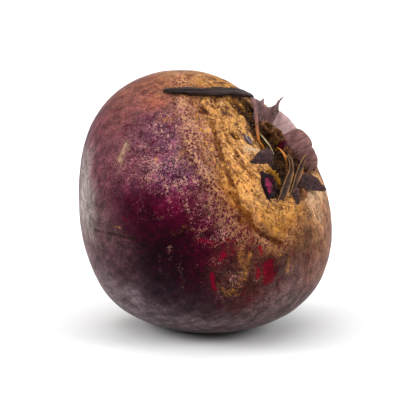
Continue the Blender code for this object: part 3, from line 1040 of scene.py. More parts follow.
SKIN_TONES = (
    # The ochre collar, from the viewer's side round under the crown and over the top.
    Tone(30, -95, "#fabd84"),
    Tone(40, -78, "#eea864"),
    Tone(44, -55, "#dca876"),
    Tone(54, -56, "#d8a27c", 5),
    Tone(46, -20, "#845f4a", 6),
    Tone(46, -32, "#d49e64"),
    Tone(43, -10, "#c69a70"),
    Tone(18, -130, "#d8a66c", 12),
    Tone(19, -178, "#8c6040", 5),
    Tone(36, -128, "#a0704a"),
    Tone(46, -84, "#b0804e", 5),
    Tone(42, -150, "#7a5643"),
    Tone(50, -165, "#8c6652"),
    Tone(58, 180, "#b08a6c", 12),
    Tone(40, 170, "#b9854e", 12),
    Tone(20, 0, "#8a5c3e"),
    Tone(38, 22, "#e4c4a8"),
    Tone(47, 8, "#b08c72"),
    Tone(45, 45, "#c4a07e", 10),
    Tone(30, 90, "#9a7a68", 12),
    # The dusty shoulder beyond it.
    Tone(53, -122, "#78524a"),
    Tone(52, -98, "#6e4a4a"),
    Tone(62, -118, "#66445a"),
    Tone(65, -102, "#62425c"),
    Tone(70, -128, "#6e4a56"),
    Tone(70, -145, "#7e5a54"),
    Tone(68, -160, "#825c4e"),
    Tone(78, -120, "#80585a"),
    Tone(80, -140, "#6c4a48"),
    Tone(78, -108, "#784e5a"),
    Tone(90, -128, "#6c4a50", 11),
    # The dark flank towards the viewer.
    Tone(82, -97, "#5a2236"),
    Tone(72, -88, "#682e3e"),
    Tone(62, -80, "#6c4044"),
    Tone(95, -100, "#3a1222"),
    Tone(92, -86, "#1e0710"),
    Tone(84, -72, "#19050d"),
    Tone(98, -72, "#180710", 12),
    Tone(74, -66, "#4a1a28"),
    Tone(66, -56, "#5c3030"),
    Tone(66, -30, "#4a2a26", 7),
    Tone(66, -142, "#b07866", 4),
    Tone(60, -44, "#60443c"),
    Tone(76, -48, "#523a32"),
    Tone(88, -54, "#321820"),
    # The far left edge, painted pale grey: a painted reflection of the white surroundings along the rim.
    Tone(107, -130, "#8f8481", 6),
    Tone(114, -126, "#9c928e", 7),
    Tone(124, -120, "#a39a95", 8),
    # The lower side, smoother and greyer; its paler grey tones are partly a painted reflection of the pale
    # floor.
    Tone(108, -104, "#604a4c", 12),
    Tone(118, -88, "#4a353a", 12),
    Tone(112, -58, "#271720", 12),
    Tone(98, -42, "#36242a"),
    Tone(84, -34, "#5a3834"),
    Tone(72, -20, "#6a524e"),
    Tone(58, -18, "#46322a"),
    Tone(53, -2, "#5c4232"),
    Tone(60, 12, "#94705f"),
    Tone(56, 30, "#9c7460"),
    Tone(66, -4, "#7c5c56"),
    Tone(80, -8, "#746462", 12),
    Tone(95, -15, "#746264", 14),
    Tone(134, -60, "#84767a", 14),
    Tone(120, -20, "#7c6c6e", 18),
    # The sides that face away from the viewer.
    Tone(75, 40, "#7c5450", 16),
    Tone(55, 75, "#8c644e", 14),
    Tone(60, 125, "#96704e", 16),
    Tone(85, 80, "#5c3440", 18),
    Tone(82, 140, "#66464a", 18),
    Tone(85, -175, "#7c5450", 14),
    Tone(105, 120, "#4a2832", 20),
    Tone(110, 30, "#4e2c34", 18),
    Tone(115, -165, "#52343c", 18),
    Tone(135, 60, "#432430", 20),
    Tone(145, -120, "#7a6466", 16),
    Tone(150, 150, "#5a3a3c", 16),
    Tone(176, 0, "#6e5040", 12),
)

SKIN_MARKS = (
    # Where the skin is rubbed to a pale grain.
    Mark(Stain.DUST, ((60, -120), (66, -100), (70, -112)), 26, 0.98),
    Mark(Stain.DUST, ((64, -84), (67, -74), (67, -64)), 14, 0.85),
    Mark(Stain.DUST, ((78, -56), (76, -42)), 11, 0.55),
    Mark(Stain.DUST, ((78, -44), (88, -42)), 9, 0.9),
    Mark(Stain.DUST, ((84, -104), (88, -92)), 8, 0.5),
    Mark(Stain.DUST, ((68, -86), (70, -76)), 9, 0.8),
    Mark(Stain.DUST, ((52, -100), (50, -140)), 16, 1.1),
    Mark(Stain.DUST, ((66, 150), (75, 60)), 18, 0.4),
    # Flanks where the skin stays smooth.
    Mark(Stain.SMOOTH, ((112, -100), (118, -70), (112, -40), (98, -15), (85, 0)), 34, 1.0),
    Mark(Stain.SMOOTH, ((92, -134), (75, -165), (65, 170)), 22, 0.55),
    Mark(Stain.SMOOTH, ((62, 25), (80, 20)), 20, 0.7),
    Mark(Stain.SMOOTH, ((98, -70), (92, -84)), 16, 0.55),
    # Red grazes.
    Mark(Stain.GRAZE, ((67, -33), (73, -30)), 4.4, 1.0, -0.15),
    Mark(Stain.GRAZE, ((71, -37), (74, -36)), 2.2, 0.8),
    Mark(Stain.GRAZE, ((73, -57), (76, -56)), 2.2, 0.9),
    Mark(Stain.GRAZE, ((84, -54), (89, -48)), 1.8, 0.95),
    Mark(Stain.GRAZE, ((62, -42), (64, -40)), 1.8, 0.7),
    Mark(Stain.GRAZE, ((88, -84), (92, -82)), 1.2, 0.45),
    Mark(Stain.DUST, ((95, -76), (102, -69)), 1.6, 0.74),
    Mark(Stain.DUST, ((100, -67), (108, -62)), 1.6, 0.74),
    Mark(Stain.DUST, ((90, -68), (96, -60), (101, -57)), 1.8, 0.74),
    Mark(Stain.DUST, ((88, -76), (92, -72)), 2.4, 0.75),
    Mark(Stain.GRAZE, ((97, -99), (97, -98)), 1.4, 0.7),
    Mark(Stain.GRAZE, ((76, -134), (72, -132)), 4.0, 0.24),
    Mark(Stain.GRAZE, ((76, -146), (74, -138)), 2.2, 0.26),
    Mark(Stain.GRAZE, ((68, -148), (66, -138)), 2.4, 0.25),
    Mark(Stain.GRAZE, ((76, -70), (73, -64)), 2.6, 0.55),
    Mark(Stain.GRAZE, ((68, -62), (66, -56)), 2.0, 0.5),
    Mark(Stain.GRAZE, ((82, -62), (80, -56)), 1.8, 0.5),
    # Ochre scabs.
    Mark(Stain.SCAB, ((66, -52), (72, -46)), 3.4, 0.55, 0.15),
    Mark(Stain.SCAB, ((66, -46), (78, -42), (86, -42)), 4.2, 0.55, 0.15),
    Mark(Stain.SCAB, ((87, -48), (88, -42), (85, -38)), 3.6, 0.45, 0.1),
    Mark(Stain.SCAB, ((82, -80), (77, -78), (74, -74), (68, -70)), 2.8, 0.34, 0.1),
    Mark(Stain.SCAB, ((58, -46), (60, -38), (62, -28)), 2.2, 0.45, 0.1),
    Mark(Stain.SCAB, ((62, -22), (68, -20)), 2.2, 0.6, 0.1),
    Mark(Stain.SCAB, ((70, -112), (70.5, -111)), 1.6, 0.9, 0.15),
    Mark(Stain.SCAB, ((58, -112), (60, -108)), 3.4, 0.5),
    Mark(Stain.SCAB, ((60, -130), (64, -132)), 5.0, 0.5),
    # The ridge that runs round the collar, with ochre laid along it as a painted highlight, and the groove
    # outside it, painted dark as painted shade.
    Mark(Stain.ROT, ((44, -147), (42, -107), (46, -81), (52, -66), (57, -46), (57, -30)), 2.2, 0.42, -0.35),
    Mark(Stain.SCAB, ((40, -147), (38, -107), (42, -80), (48, -64), (53, -45), (54, -22)), 2.0, 0.4, 0.35),
    # Pale chalky patches.
    Mark(Stain.CHALK, ((80, -123), (84, -120)), 5.0, 0.62, 0.1),
    Mark(Stain.CHALK, ((86, -117), (88, -115)), 2.4, 0.4),
    Mark(Stain.CHALK, ((24, -100), (15, -88), (13, -60)), 4.4, 1.0, 0.25),
    Mark(Stain.CHALK, ((22, -78), (16, -62)), 3.0, 0.7, 0.2),
    Mark(Stain.CHALK, ((36, -160), (33, 160)), 2.4, 0.55),
    Mark(Stain.CHALK, ((38, 16), (40, 30)), 7.0, 0.5),
    # Dark places: pinholes, the shadowed rim of the plug and rotted tissue.
    Mark(Stain.ROT, ((29.2, -122), (27.5, -118)), 1.5, 1.0, -0.5),
    Mark(Stain.ROT, ((31, -100), (33, -97)), 0.9, 0.7, -0.2),
    Mark(Stain.ROT, ((21, -128), (17, -118)), 2.0, 0.9, -0.3),
    Mark(Stain.ROT, ((29, -178), (19, 172)), 5.5, 0.98, -0.3),
    Mark(Stain.ROT, ((50, -22), (54, -10), (52, 4)), 4.0, 0.45),
    # The healed scratch on the flank.
    Mark(Stain.MOSS, ((119, -107), (108, -97), (98, -88)), 1.1, 0.75, -0.25),
    Mark(Stain.MOSS, ((116, -100), (105, -93)), 3.0, 0.5),
    Mark(Stain.SCAB, ((104, -98), (102, -97)), 1.4, 0.7),
    Mark(Stain.CHALK, ((104, -91), (102, -90)), 1.0, 0.6),
    # The crown's rotted middle.
    Mark(Stain.HOLLOW, ((12, 160), (9, 60), (20, 40)), 10.0, 0.88, -1.2),
    Mark(Stain.HOLLOW, ((10, -30), (20, -12), (28, -2)), 6.5, 1.0, -1.5),
    Mark(Stain.HOLLOW, ((24, 60), (30, 50)), 5.0, 0.8, -0.5),
    Mark(Stain.HOLLOW, ((26, 150), (28, 165)), 4.5, 0.85, -0.6),
    Mark(Stain.HOLLOW, ((33, -42), (27, -44)), 5.6, 0.9, -0.4),
    Mark(Stain.CRUMBS, ((36, -110), (42, -70), (45, -30), (42, 20), (40, 120), (44, -160)), 26, 1.0),
)


# --------------------------------------------------------------------------------------------------
# What is left of the leaf stalks
# --------------------------------------------------------------------------------------------------


@dataclass
class CrownPiece:
    """A piece that stands on the crown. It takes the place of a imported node, or adds to one."""

    name: str
    slot: str
    finish: DryTissue | CutFlesh
    node: str | None = None
    warp: float = 0.5
    pucker: float = 0.12
    seed: float = 1.0

    def grown(
        self, bulb: Bulb, points: np.ndarray, faces: list, fields: dict, grower: Grower
    ) -> bpy.types.Object:
        """Makes the mesh, shrivels it and hands it to the frame.

        Args:
            bulb: the bulb's axes.
            points: vertices in the bulb's axes, in millimetres.
            faces: vertex numbers of each face.
            fields: what each vertex carries.
            grower: the tree that shrivels it.

        Returns:
            The finished piece.
        """
        piece = mesh_object("fine_" + self.name, bulb.world(points), faces, fields)
        grower.run(piece, warp=self.warp * MM, fold_size=3.5 * MM, pucker=self.pucker * MM,
                   pucker_size=0.9 * MM, seed=self.seed, material=self.finish.material())
        settle(piece, self.node)
        return piece


def settle(piece: bpy.types.Object, node: str | None) -> None:
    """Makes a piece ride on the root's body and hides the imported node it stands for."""
    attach(piece, BODY)
    if node:
        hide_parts(node)
    LOG.info("%s: %d faces", piece.name, len(piece.data.polygons))


def grid_faces(rows: int, columns: int, start: int = 0, loop: bool = False) -> list[tuple[int, ...]]:
    """Faces of a grid of vertices, closed round the columns where loop is set."""
    faces = []
    for i in range(rows - 1):
        for j in range(columns if loop else columns - 1):
            k = (j + 1) % columns
            a, b = start + i * columns, start + (i + 1) * columns
            faces.append((a + j, a + k, b + k, b + j))
    return faces


@dataclass
class Sheet(CrownPiece):
    """A thin dried sheet through rails, from the row where it grows out to its free edge."""

    rows: tuple[tuple[Place, ...], ...] = ()
    thickness: float = 0.35
    ragged: float = 0.12
    ribs: float = 5.0
    rib_height: float = 0.08
    loose_along: bool = False
    along: int = 44
    across: int = 22

    def build(self, bulb: Bulb, grower: Grower) -> bpy.types.Object:
        """Makes the sheet.

        Args:
            bulb: the bulb's axes.
            grower: the tree that shrivels it.

        Returns:
            The finished sheet.
        """
        rails = np.array([[bulb.raised(place) for place in rail] for rail in self.rows])
        noise = CloudyNoise(int(self.seed * 10))
        s = np.linspace(0, 1, self.along)
        t = np.linspace(0, 1, self.across)
        columns = smooth_run(rails.swapaxes(0, 1), s)
        torn = noise.at(np.stack([s * 9, s * 0, s * 0 + self.seed], axis=1), 1.0, 3)
        ends = 1 - self.ragged * (0.5 + torn)
        grid = np.stack([smooth_run(column, t * end) for column, end in zip(columns, ends)])
        du, dv = np.gradient(grid, axis=0), np.gradient(grid, axis=1)
        normal = np.cross(du, dv)
        normal /= np.maximum(np.linalg.norm(normal, axis=2), 1e-9)[:, :, None]
        grid = grid + normal * (self.rib_height * np.cos(2 * math.pi * self.ribs * t))[None, :, None]
        length = np.linalg.norm(np.diff(grid, axis=0), axis=2).sum(axis=0).mean()
        width = np.linalg.norm(np.diff(grid, axis=1), axis=2).sum(axis=1).mean()
        from_ends = np.minimum(s, 1 - s)[:, None] * length
        near = np.minimum(from_ends, np.minimum(t, 1 - t)[None, :] * width)
        free = near if self.loose_along else np.minimum(from_ends, (1 - t)[None, :] * width)
        half = 0.5 * self.thickness * (0.3 + 0.7 * np.clip(near / 0.8, 0, 1))[:, :, None]
        sides = [grid + normal * half, grid - normal * half]
        points = np.concatenate([side.reshape(-1, 3) for side in sides])
        count = self.along * self.across
        faces = grid_faces(self.along, self.across) + grid_faces(self.along, self.across, count)
        faces += self._rim(count)
        loose = np.broadcast_to(s[:, None] if self.loose_along else t[None, :], near.shape)
        grain = np.broadcast_arrays(t[None, :] * width, s[:, None] * length, 0.0)
        grain = np.stack(grain, axis=2).reshape(-1, 3)
        if not self.loose_along:
            grain = grain[:, [1, 0, 2]]
        fields = {
            "loose": np.tile(loose.ravel() ** 1.3, 2),
            "edge": np.tile(np.exp(-free / 0.35).ravel(), 2),
            "grain": np.concatenate([grain, grain + np.array([0.0, 0.0, 5.0])]),
        }
        return self.grown(bulb, points, faces, fields, grower)

    def _rim(self, count: int) -> list[tuple[int, ...]]:
        """The faces that close the sheet's edge between its two sides."""
        rows, columns = self.along, self.across
        border = list(range(columns))
        border += [i * columns + columns - 1 for i in range(1, rows)]
        border += [(rows - 1) * columns + j for j in range(columns - 2, -1, -1)]
        border += [i * columns for i in range(rows - 2, 0, -1)]
        return [(a, b, b + count, a + count) for a, b in zip(border, border[1:] + border[:1])]


@dataclass
class Stalk(CrownPiece):
    """A dried stalk or strand: a ribbed, flattened tube through stations of (u, v, rise, radius)."""

    stations: tuple[Station, ...] = ()
    flatness: float = 0.25
    groove: float = 0.25
    ribs: int = 7
    rib_depth: float = 0.1
    twist: float = 0.0
    along: int = 110
    around: int = 24

    def build(self, bulb: Bulb, grower: Grower) -> bpy.types.Object:
        """Makes the stalk.

        Args:
            bulb: the bulb's axes.
            grower: the tree that shrivels it.

        Returns:
            The finished stalk.
        """
        own = np.array([[*bulb.raised(station[:3]), station[3]] for station in self.stations])
        s = np.linspace(0, 1, self.along)
        run = smooth_run(own, s)
        centre, radius = run[:, :3], run[:, 3]
        noise = CloudyNoise(int(self.seed * 10))
        radius = radius * (1 + 0.22 * noise.at(np.stack([s * 14, s * 0, s * 0], axis=1), 1.0, 3))
        tangent = np.gradient(centre, axis=0)
        tangent /= np.linalg.norm(tangent, axis=1)[:, None]
        outward = centre / np.linalg.norm(centre, axis=1)[:, None]
        side = np.cross(tangent, outward)
        side /= np.linalg.norm(side, axis=1)[:, None]
        up = np.cross(side, tangent)
        theta = np.linspace(0, 2 * math.pi, self.around, endpoint=False)
        shape = 1 + self.rib_depth * np.cos(self.ribs * theta[None, :] + 3 * np.sin(5 * s)[:, None])
        shape = shape * (1 - self.groove * np.exp(-(((theta - math.pi / 2) / 0.5) ** 2)))[None, :]
        roll = self.twist * s[:, None]
        wide = (1 + self.flatness) * np.cos(theta + roll)
        thin = (1 - self.flatness) * np.sin(theta + roll)
        reach = radius[:, None] * shape
        skin = (reach * wide)[:, :, None] * side[:, None, :] + (reach * thin)[:, :, None] * up[:, None, :]
        points = (centre[:, None, :] + skin).reshape(-1, 3)
        faces = grid_faces(self.along, self.around, loop=True)
        faces.append(tuple(range(self.around - 1, -1, -1)))
        faces.append(tuple(range((self.along - 1) * self.around, self.along * self.around)))
        length = np.linalg.norm(np.diff(centre, axis=0), axis=1).sum()
        over, under = np.cos(theta)[None, :] * radius[:, None], np.sin(theta)[None, :] * radius[:, None]
        arc = np.stack(np.broadcast_arrays(over, s[:, None] * length, under), axis=2)
        fields = {
            "loose": np.repeat(s, self.around),
            "edge": np.tile(0.5 + 0.5 * np.cos(self.ribs * theta), self.along) * 0.6,
            "grain": arc.reshape(-1, 3),
        }
        return self.grown(bulb, points, faces, fields, grower)


@dataclass
class Stub(CrownPiece):
    """The short foot of a stalk: a ring of rind with a shrunken middle.

    Its profile is a run of (share of the radius, height in millimetres) from under the skin to the middle.
    """

    place: Place = (0.0, 0.0, 0.0)
    across: float = 4.0
    through: float = 3.0
    turn: float = 0.0
    lean: float = 0.0
    profile: tuple[tuple[float, float], ...] = ()
    lumps: float = 0.18
    rows: int = 30
    around: int = 48

    def build(self, bulb: Bulb, grower: Grower) -> bpy.types.Object:
        """Makes the stub.

        Args:
            bulb: the bulb's axes.
            grower: the tree that shrivels it.

        Returns:
            The finished stub.
        """
        foot = bulb.raised(self.place)
        above = bulb.raised((self.place[0], self.place[1], self.place[2] + 1.0))
        up = above - foot
        side = np.array([math.cos(math.radians(self.turn)), math.sin(math.radians(self.turn)), 0.0])
        side -= up * (side @ up)
        side /= np.linalg.norm(side)
        back = np.cross(up, side)
        noise = CloudyNoise(int(self.seed * 10))
        profile = smooth_run(np.array(self.profile), np.linspace(0, 1, self.rows))
        theta = np.linspace(0, 2 * math.pi, self.around, endpoint=False)
        round_ = np.stack([np.cos(theta), np.sin(theta)], axis=1)
        rings = []
        for share, height in profile:
            level = np.full((self.around, 1), height * 0.4 + self.seed)
            spots = np.concatenate([round_ * 2.0, level], axis=1)
            swell = 1 + self.lumps * noise.at(spots, 1.2, 3)
            lift = height * (1 + 0.6 * self.lumps * noise.at(spots + 9, 0.9, 3))
            wide = 0.5 * self.across * share * swell * round_[:, 0]
            deep = 0.5 * self.through * share * swell * round_[:, 1] + self.lean * height
            rings.append(foot + wide[:, None] * side + deep[:, None] * back + lift[:, None] * up)
        points = np.concatenate(rings)
        faces = grid_faces(self.rows, self.around, loop=True)
        faces.append(tuple(range(self.around - 1, -1, -1)))
        faces.append(tuple(range((self.rows - 1) * self.around, self.rows * self.around)))
        share = profile[:, 0] / profile[:, 0].max()
        tall = np.clip(profile[:, 1] / profile[:, 1].max(), 0, 1)
        order = np.linspace(0, 1, self.rows)
        crest = order[np.argmax(profile[:, 1])]
        core = np.where(order > crest, 1 - share, 0)
        girth = 0.25 * (self.across + self.through)
        over, under = np.cos(theta)[None, :] * girth, np.sin(theta)[None, :] * girth
        grain = np.stack(np.broadcast_arrays(over, profile[:, 1][:, None] * 1.5, under), axis=2)
        fields = {
            "loose": np.repeat(tall, self.around),
            "edge": np.repeat(np.exp(-(((order - crest) / 0.12) ** 2)), self.around),
            "core": np.repeat(core, self.around),
            "grain": grain.reshape(-1, 3),
        }
        return self.grown(bulb, points, faces, fields, grower)


def stalk_pieces() -> list[CrownPiece]:
    """The long stalk, its strap, the folded stalks and the loose fibres."""
    return [
        Stalk("long_dry_stalk", "dry_stalk", LONG_STALK, "long_dry_stalk", 0.5, 0.22, 1.0, (
            (-16.9, 9.2, 1.8, 0.7), (-18.4, 8.4, 2.0, 1.1), (-20.6, 1.4, 2.0, 1.4), (-23.0, -4.8, 1.7, 1.45),
            (-25.8, -10.8, 1.3, 1.25), (-29.4, -15.2, 1.1, 0.95), (-31.8, -17.6, 0.9, 0.7),
            (-32.6, -18.2, 0.8, 0.35)),
            flatness=0.15, groove=0.45, ribs=6, rib_depth=0.12, twist=1.4, along=150),
        Stalk("stalk_strap", "dry_stalk", STRAP, None, 0.2, 0.05, 2.0, (
            (-18.2, 8.8, 1.9, 0.9), (-16.8, 8.6, 2.0, 0.8), (-12.9, 4.9, 1.7, 0.5), (-8.6, -0.3, 1.6, 0.38),
            (-3.6, -5.0, 1.5, 0.4), (-1.0, -4.3, 1.0, 0.34), (0.6, -3.4, -0.2, 0.3)),
            flatness=0.5, groove=0.4, ribs=4, rib_depth=0.06, twist=0.5),
        Stalk("straw_fibre", "straw_fibre", STRAW, "straw_fibre", 0.3, 0.03, 3.0, (
            (-6.2, 1.6, -0.2, 0.3), (-3.0, -1.4, 1.9, 0.3), (0.2, -2.0, 2.1, 0.28), (3.0, -1.2, 1.0, 0.22)),
            flatness=0.2, along=60, around=12),
        Stalk("amber_fibre", "amber_fibre", AMBER, "amber_fibre", 0.3, 0.05, 4.0, (
            (1.6, 3.2, 0.2, 0.3), (2.4, 2.4, 2.0, 0.42), (5.4, 0.8, 2.4, 0.5), (8.2, -0.2, 1.4, 0.25)),
            flatness=0.35, along=60, around=14),
        Sheet("folded_stalk_near", "brown_scrap", BROWN_SCRAP, "folded_stalk_near", 0.5, 0.12, 5.0, (
            ((17.0, -13.0, -0.3), (14.6, -10.7, 1.0), (11.9, -6.0, 1.5), (9.6, -1.7, 2.1), (7.3, -0.6, 3.1),
             (6.2, -2.0, 4.2)),
            ((17.6, -11.8, -0.5), (15.1, -8.8, 0.2), (12.3, -4.2, 0.5), (9.9, -0.4, 1.1), (7.4, 0.5, 2.3),
             (6.3, -1.0, 3.8)),
            ((18.2, -10.6, -0.3), (15.7, -6.9, 0.9), (12.8, -2.4, 1.5), (10.2, 0.9, 2.0), (7.4, 1.7, 3.0),
             (6.4, -0.2, 4.2))),
            thickness=0.4, ragged=0.0, ribs=3, rib_height=0.05, loose_along=True, along=70, across=16),
        Sheet("folded_stalk_far", "brown_scrap", BROWN_SCRAP, "folded_stalk_far", 0.5, 0.12, 6.0, (
            ((17.2, -6.6, -0.3), (14.6, -3.4, 1.0), (11.4, 1.3, 2.0), (9.3, 4.0, 3.5), (8.0, 6.6, 5.2)),
            ((17.4, -6.0, -0.5), (14.9, -2.2, 0.3), (11.9, 2.4, 1.0), (9.9, 5.0, 2.4), (8.0, 6.8, 5.2)),
            ((17.6, -5.4, -0.3), (15.2, -1.2, 0.9), (12.6, 3.6, 2.1), (10.5, 6.2, 3.1), (8.0, 7.0, 5.2))),
            thickness=0.4, ragged=0.0, ribs=3, rib_height=0.05, loose_along=True, along=70, across=16),
    ]


def sheet_pieces() -> list[CrownPiece]:
    """The sheath with its horns, the scale-like stalk feet and the scraps."""
    return [
        Sheet("horned_sheath", "mauve_sheath", SHEATH, "horned_sheath", 0.5, 0.2, 11.0, (
            ((-11.0, 3.2, -0.5), (-9.8, 4.4, -0.5), (-8.6, 5.6, -0.5), (-7.8, 6.8, -0.5), (-7.2, 8.0, -0.5),
             (-6.6, 9.4, -0.5), (-5.8, 10.8, -0.5)),
            ((-14.0, 6.6, 1.0), (-12.2, 7.2, 1.6), (-11.0, 7.4, 1.5), (-10.2, 8.2, 1.8), (-9.6, 9.0, 2.2),
             (-8.9, 10.2, 3.0), (-7.4, 11.2, 2.4)),
            ((-16.6, 9.6, 2.2), (-14.4, 9.4, 3.0), (-13.0, 8.8, 3.0), (-11.6, 9.2, 3.4), (-10.8, 10.2, 4.2),
             (-9.9, 11.4, 5.8), (-8.0, 11.6, 4.6))),
            thickness=0.4, ragged=0.0, ribs=2, rib_height=0.1, along=70, across=30),
        Stalk("sheath_left_horn", "mauve_sheath", SHEATH, None, 0.05, 0.04, 12.0, (
            (-13.2, 8.0, 1.8, 0.7), (-13.7, 9.2, 2.8, 0.6), (-14.0, 10.0, 3.4, 0.4),
            (-14.4, 11.0, 4.2, 0.08)),
            flatness=0.4, along=30, around=12),
        Stalk("sheath_right_horn", "mauve_sheath", SHEATH, None, 0.05, 0.04, 12.5, (
            (-8.6, 10.6, 3.0, 0.9), (-9.4, 11.2, 4.8, 0.75), (-10.0, 11.5, 6.4, 0.42),
            (-10.1, 11.8, 7.7, 0.3), (-10.1, 12.2, 9.1, 0.07)),
            flatness=0.3, along=40, around=12),
        Sheet("pale_stalk_scale_1", "pale_stalk_scale", SCALE, "pale_stalk_scale_1", 0.9, 0.3, 13.0, (
            ((-8.6, 9.6, -0.8), (-6.2, 10.6, -0.8), (-3.8, 11.2, -0.8), (-1.0, 11.6, -0.8)),
            ((-8.8, 11.4, 2.7), (-6.2, 12.2, 2.6), (-3.8, 12.8, 2.5), (-1.0, 13.2, 2.2)),
            ((-8.8, 13.0, 3.7), (-6.1, 14.0, 3.7), (-3.6, 15.0, 3.6), (-0.8, 15.8, 3.2)),
            ((-8.8, 15.6, -0.6), (-6.2, 16.8, -0.6), (-3.6, 17.2, -0.6), (-0.8, 17.6, -0.6))),
            thickness=1.2, ragged=0.0, ribs=2, rib_height=0.1, along=50, across=36),
        Sheet("pale_stalk_scale_2", "pale_stalk_scale", SCALE_DARK, "pale_stalk_scale_2", 0.9, 0.3, 14.0, (
            ((-2.6, 10.8, -0.8), (0.2, 10.6, -0.8), (3.0, 11.0, -0.8), (5.6, 12.0, -0.8)),
            ((-2.0, 13.0, 2.0), (0.6, 13.4, 3.1), (3.2, 13.8, 3.3), (5.8, 14.2, 3.0)),
            ((-1.4, 15.8, 2.8), (0.4, 16.4, 4.0), (3.2, 17.6, 4.1), (5.8, 16.8, 3.9)),
            ((-1.6, 18.0, -0.6), (0.6, 18.8, -0.6), (3.6, 19.4, -0.6), (6.4, 19.0, -0.6))),
            thickness=1.2, ragged=0.0, ribs=2, rib_height=0.1, along=50, across=36),
        Sheet("pale_stalk_scale_3", "pale_stalk_scale", SCALE_DARK, "pale_stalk_scale_3", 0.9, 0.3, 15.0, (
            ((4.8, 12.4, -0.8), (7.2, 12.8, -0.8), (9.6, 13.4, -0.8), (12.0, 14.4, -0.8)),
            ((5.4, 14.4, 2.8), (7.6, 14.6, 2.6), (9.8, 15.0, 2.0), (11.8, 15.8, 0.9)),
            ((5.8, 16.6, 3.7), (7.8, 16.8, 3.3), (9.9, 17.2, 2.6), (12.0, 17.4, 1.2)),
            ((5.8, 18.8, -0.6), (8.4, 19.0, -0.6), (11.2, 18.6, -0.6), (13.0, 18.2, -0.6))),
            thickness=1.2, ragged=0.0, ribs=2, rib_height=0.1, along=50, across=36),
        Sheet("left_leaf_scrap", "dark_scrap", DARK_SCRAP, "left_leaf_scrap", 0.9, 0.25, 16.0, (
            ((2.0, -15.4, 0.1), (3.8, -11.6, -0.3), (5.0, -8.8, -0.4), (5.8, -6.4, -0.5), (5.6, -3.6, -0.5)),
            ((1.5, -14.0, 1.0), (2.0, -10.4, 1.6), (2.6, -7.6, 1.8), (3.2, -5.2, 1.6), (3.6, -3.0, 0.8)),
            ((1.0, -13.0, 1.2), (0.2, -9.4, 2.3), (0.2, -6.6, 2.5), (1.0, -4.0, 2.2), (2.2, -2.2, 1.8))),
            thickness=0.4, ragged=0.25, ribs=3),
        Sheet("right_leaf_scrap", "dark_scrap", DARK_SCRAP, "right_leaf_scrap", 0.8, 0.25, 17.0, (
            ((14.2, 1.6, -0.5), (16.4, 4.0, -0.4), (18.4, 6.8, 1.4), (19.8, 10.2, 3.2)),
            ((13.2, 2.4, 0.8), (14.8, 5.4, 1.6), (17.4, 8.4, 2.6), (19.6, 10.6, 3.6)),
            ((12.2, 2.2, 1.5), (13.0, 6.6, 2.8), (16.2, 9.8, 3.7), (19.4, 11.0, 4.0))),
            thickness=0.4, ragged=0.15, ribs=3),
        Sheet("lower_leaf_scrap", "dark_scrap", DARK_SCRAP, "lower_leaf_scrap", 0.8, 0.2, 18.0, (
            ((20.2, -5.4, -0.3), (18.2, -4.2, -0.3), (15.8, -3.0, -0.3), (13.6, -1.6, -0.4)),
            ((20.6, -3.0, 0.7), (18.8, -1.8, 1.1), (16.8, -0.8, 1.4), (14.4, 0.6, 1.0))),
            thickness=0.35, ragged=0.3, ribs=2),
        Sheet("yellow_leaf_scrap", "yellow_scrap", YELLOW_SCRAP, "yellow_leaf_scrap", 0.6, 0.2, 19.0, (
            ((6.4, -12.0, -0.4), (8.6, -9.6, -0.4), (10.8, -8.2, -0.4), (13.2, -8.2, -0.4)),
            ((6.6, -9.8, 1.2), (8.0, -8.0, 1.6), (9.8, -7.2, 1.2), (12.4, -7.6, 0.6))),
            thickness=0.4, ragged=0.3, ribs=2),
    ]


def stub_pieces() -> list[CrownPiece]:
    """The stalk feet that were cut or rotted away, and the bud."""
    rotted = ((1.2, -0.8), (1.05, 0.6), (0.95, 1.8), (0.85, 2.6), (0.7, 2.3), (0.45, 1.0), (0.2, 0.6))
    return [
        Stub("dark_stalk_foot_1", "dark_stalk_foot", DARK_FOOT, "dark_stalk_foot_1", 0.8, 0.35, 21.0,
             (-6.6, 4.6, 0.0), 5.6, 3.6, 60.0, -0.2, rotted, 0.5),
        Stub("dark_stalk_foot_2", "dark_stalk_foot", DARK_FOOT, "dark_stalk_foot_2", 0.8, 0.35, 22.0,
             (-2.2, 6.6, 0.0), 5.2, 3.4, 20.0, 0.2, rotted, 0.5),
        Stub("fleshy_stub", "cut_flesh", CutFlesh(), "fleshy_stub", 0.4, 0.3, 23.0,
             (11.2, -13.8, 0.0), 7.8, 5.4, -28.0, 0.0,
             ((1.25, -0.6), (1.1, 0.1), (1.0, 0.8), (0.88, 1.15), (0.74, 0.75), (0.6, 0.4), (0.35, 0.8),
              (0.15, 0.9)), 0.45),
        Stub("corky_stub", "corky_stub", GREY_CORK, "corky_stub", 0.2, 0.15, 24.0,
             (-4.8, -8.8, 0.0), 3.2, 2.2, 5.0, 0.0,
             ((1.3, -0.5), (1.15, 0.2), (1.0, 0.55), (0.8, 0.6), (0.5, 0.4), (0.2, 0.35)), 0.2),
        Stub("heart_bud", "heart_bud", BUD, "heart_bud", 0.4, 0.15, 25.0,
             (1.4, 6.2, 0.0), 2.1, 1.8, 30.0, 0.1,
             ((1.0, -0.8), (1.05, 0.6), (0.85, 1.8), (0.5, 2.8), (0.2, 3.2), (0.05, 3.3)), 0.25),
    ]


# --------------------------------------------------------------------------------------------------
# The studio
# --------------------------------------------------------------------------------------------------


@dataclass
class Softbox:
    """A square area light that looks at the beetroot."""

    name: str
    place: Place
    side: float
    watts: float
    colour: str = "#ffffff"

    def build(self, aim: Vector) -> None:
        """Hangs the light in its place."""
        light = bpy.data.lights.new(self.name, "AREA")
        light.size = self.side
        light.energy = self.watts
        light.color = linear(self.colour)[:3]
        lamp = bpy.data.objects.new(self.name, light)
        lamp.location = self.place
        lamp.rotation_euler = (aim - Vector(self.place)).to_track_quat("-Z", "Y").to_euler()
        bpy.context.scene.collection.objects.link(lamp)


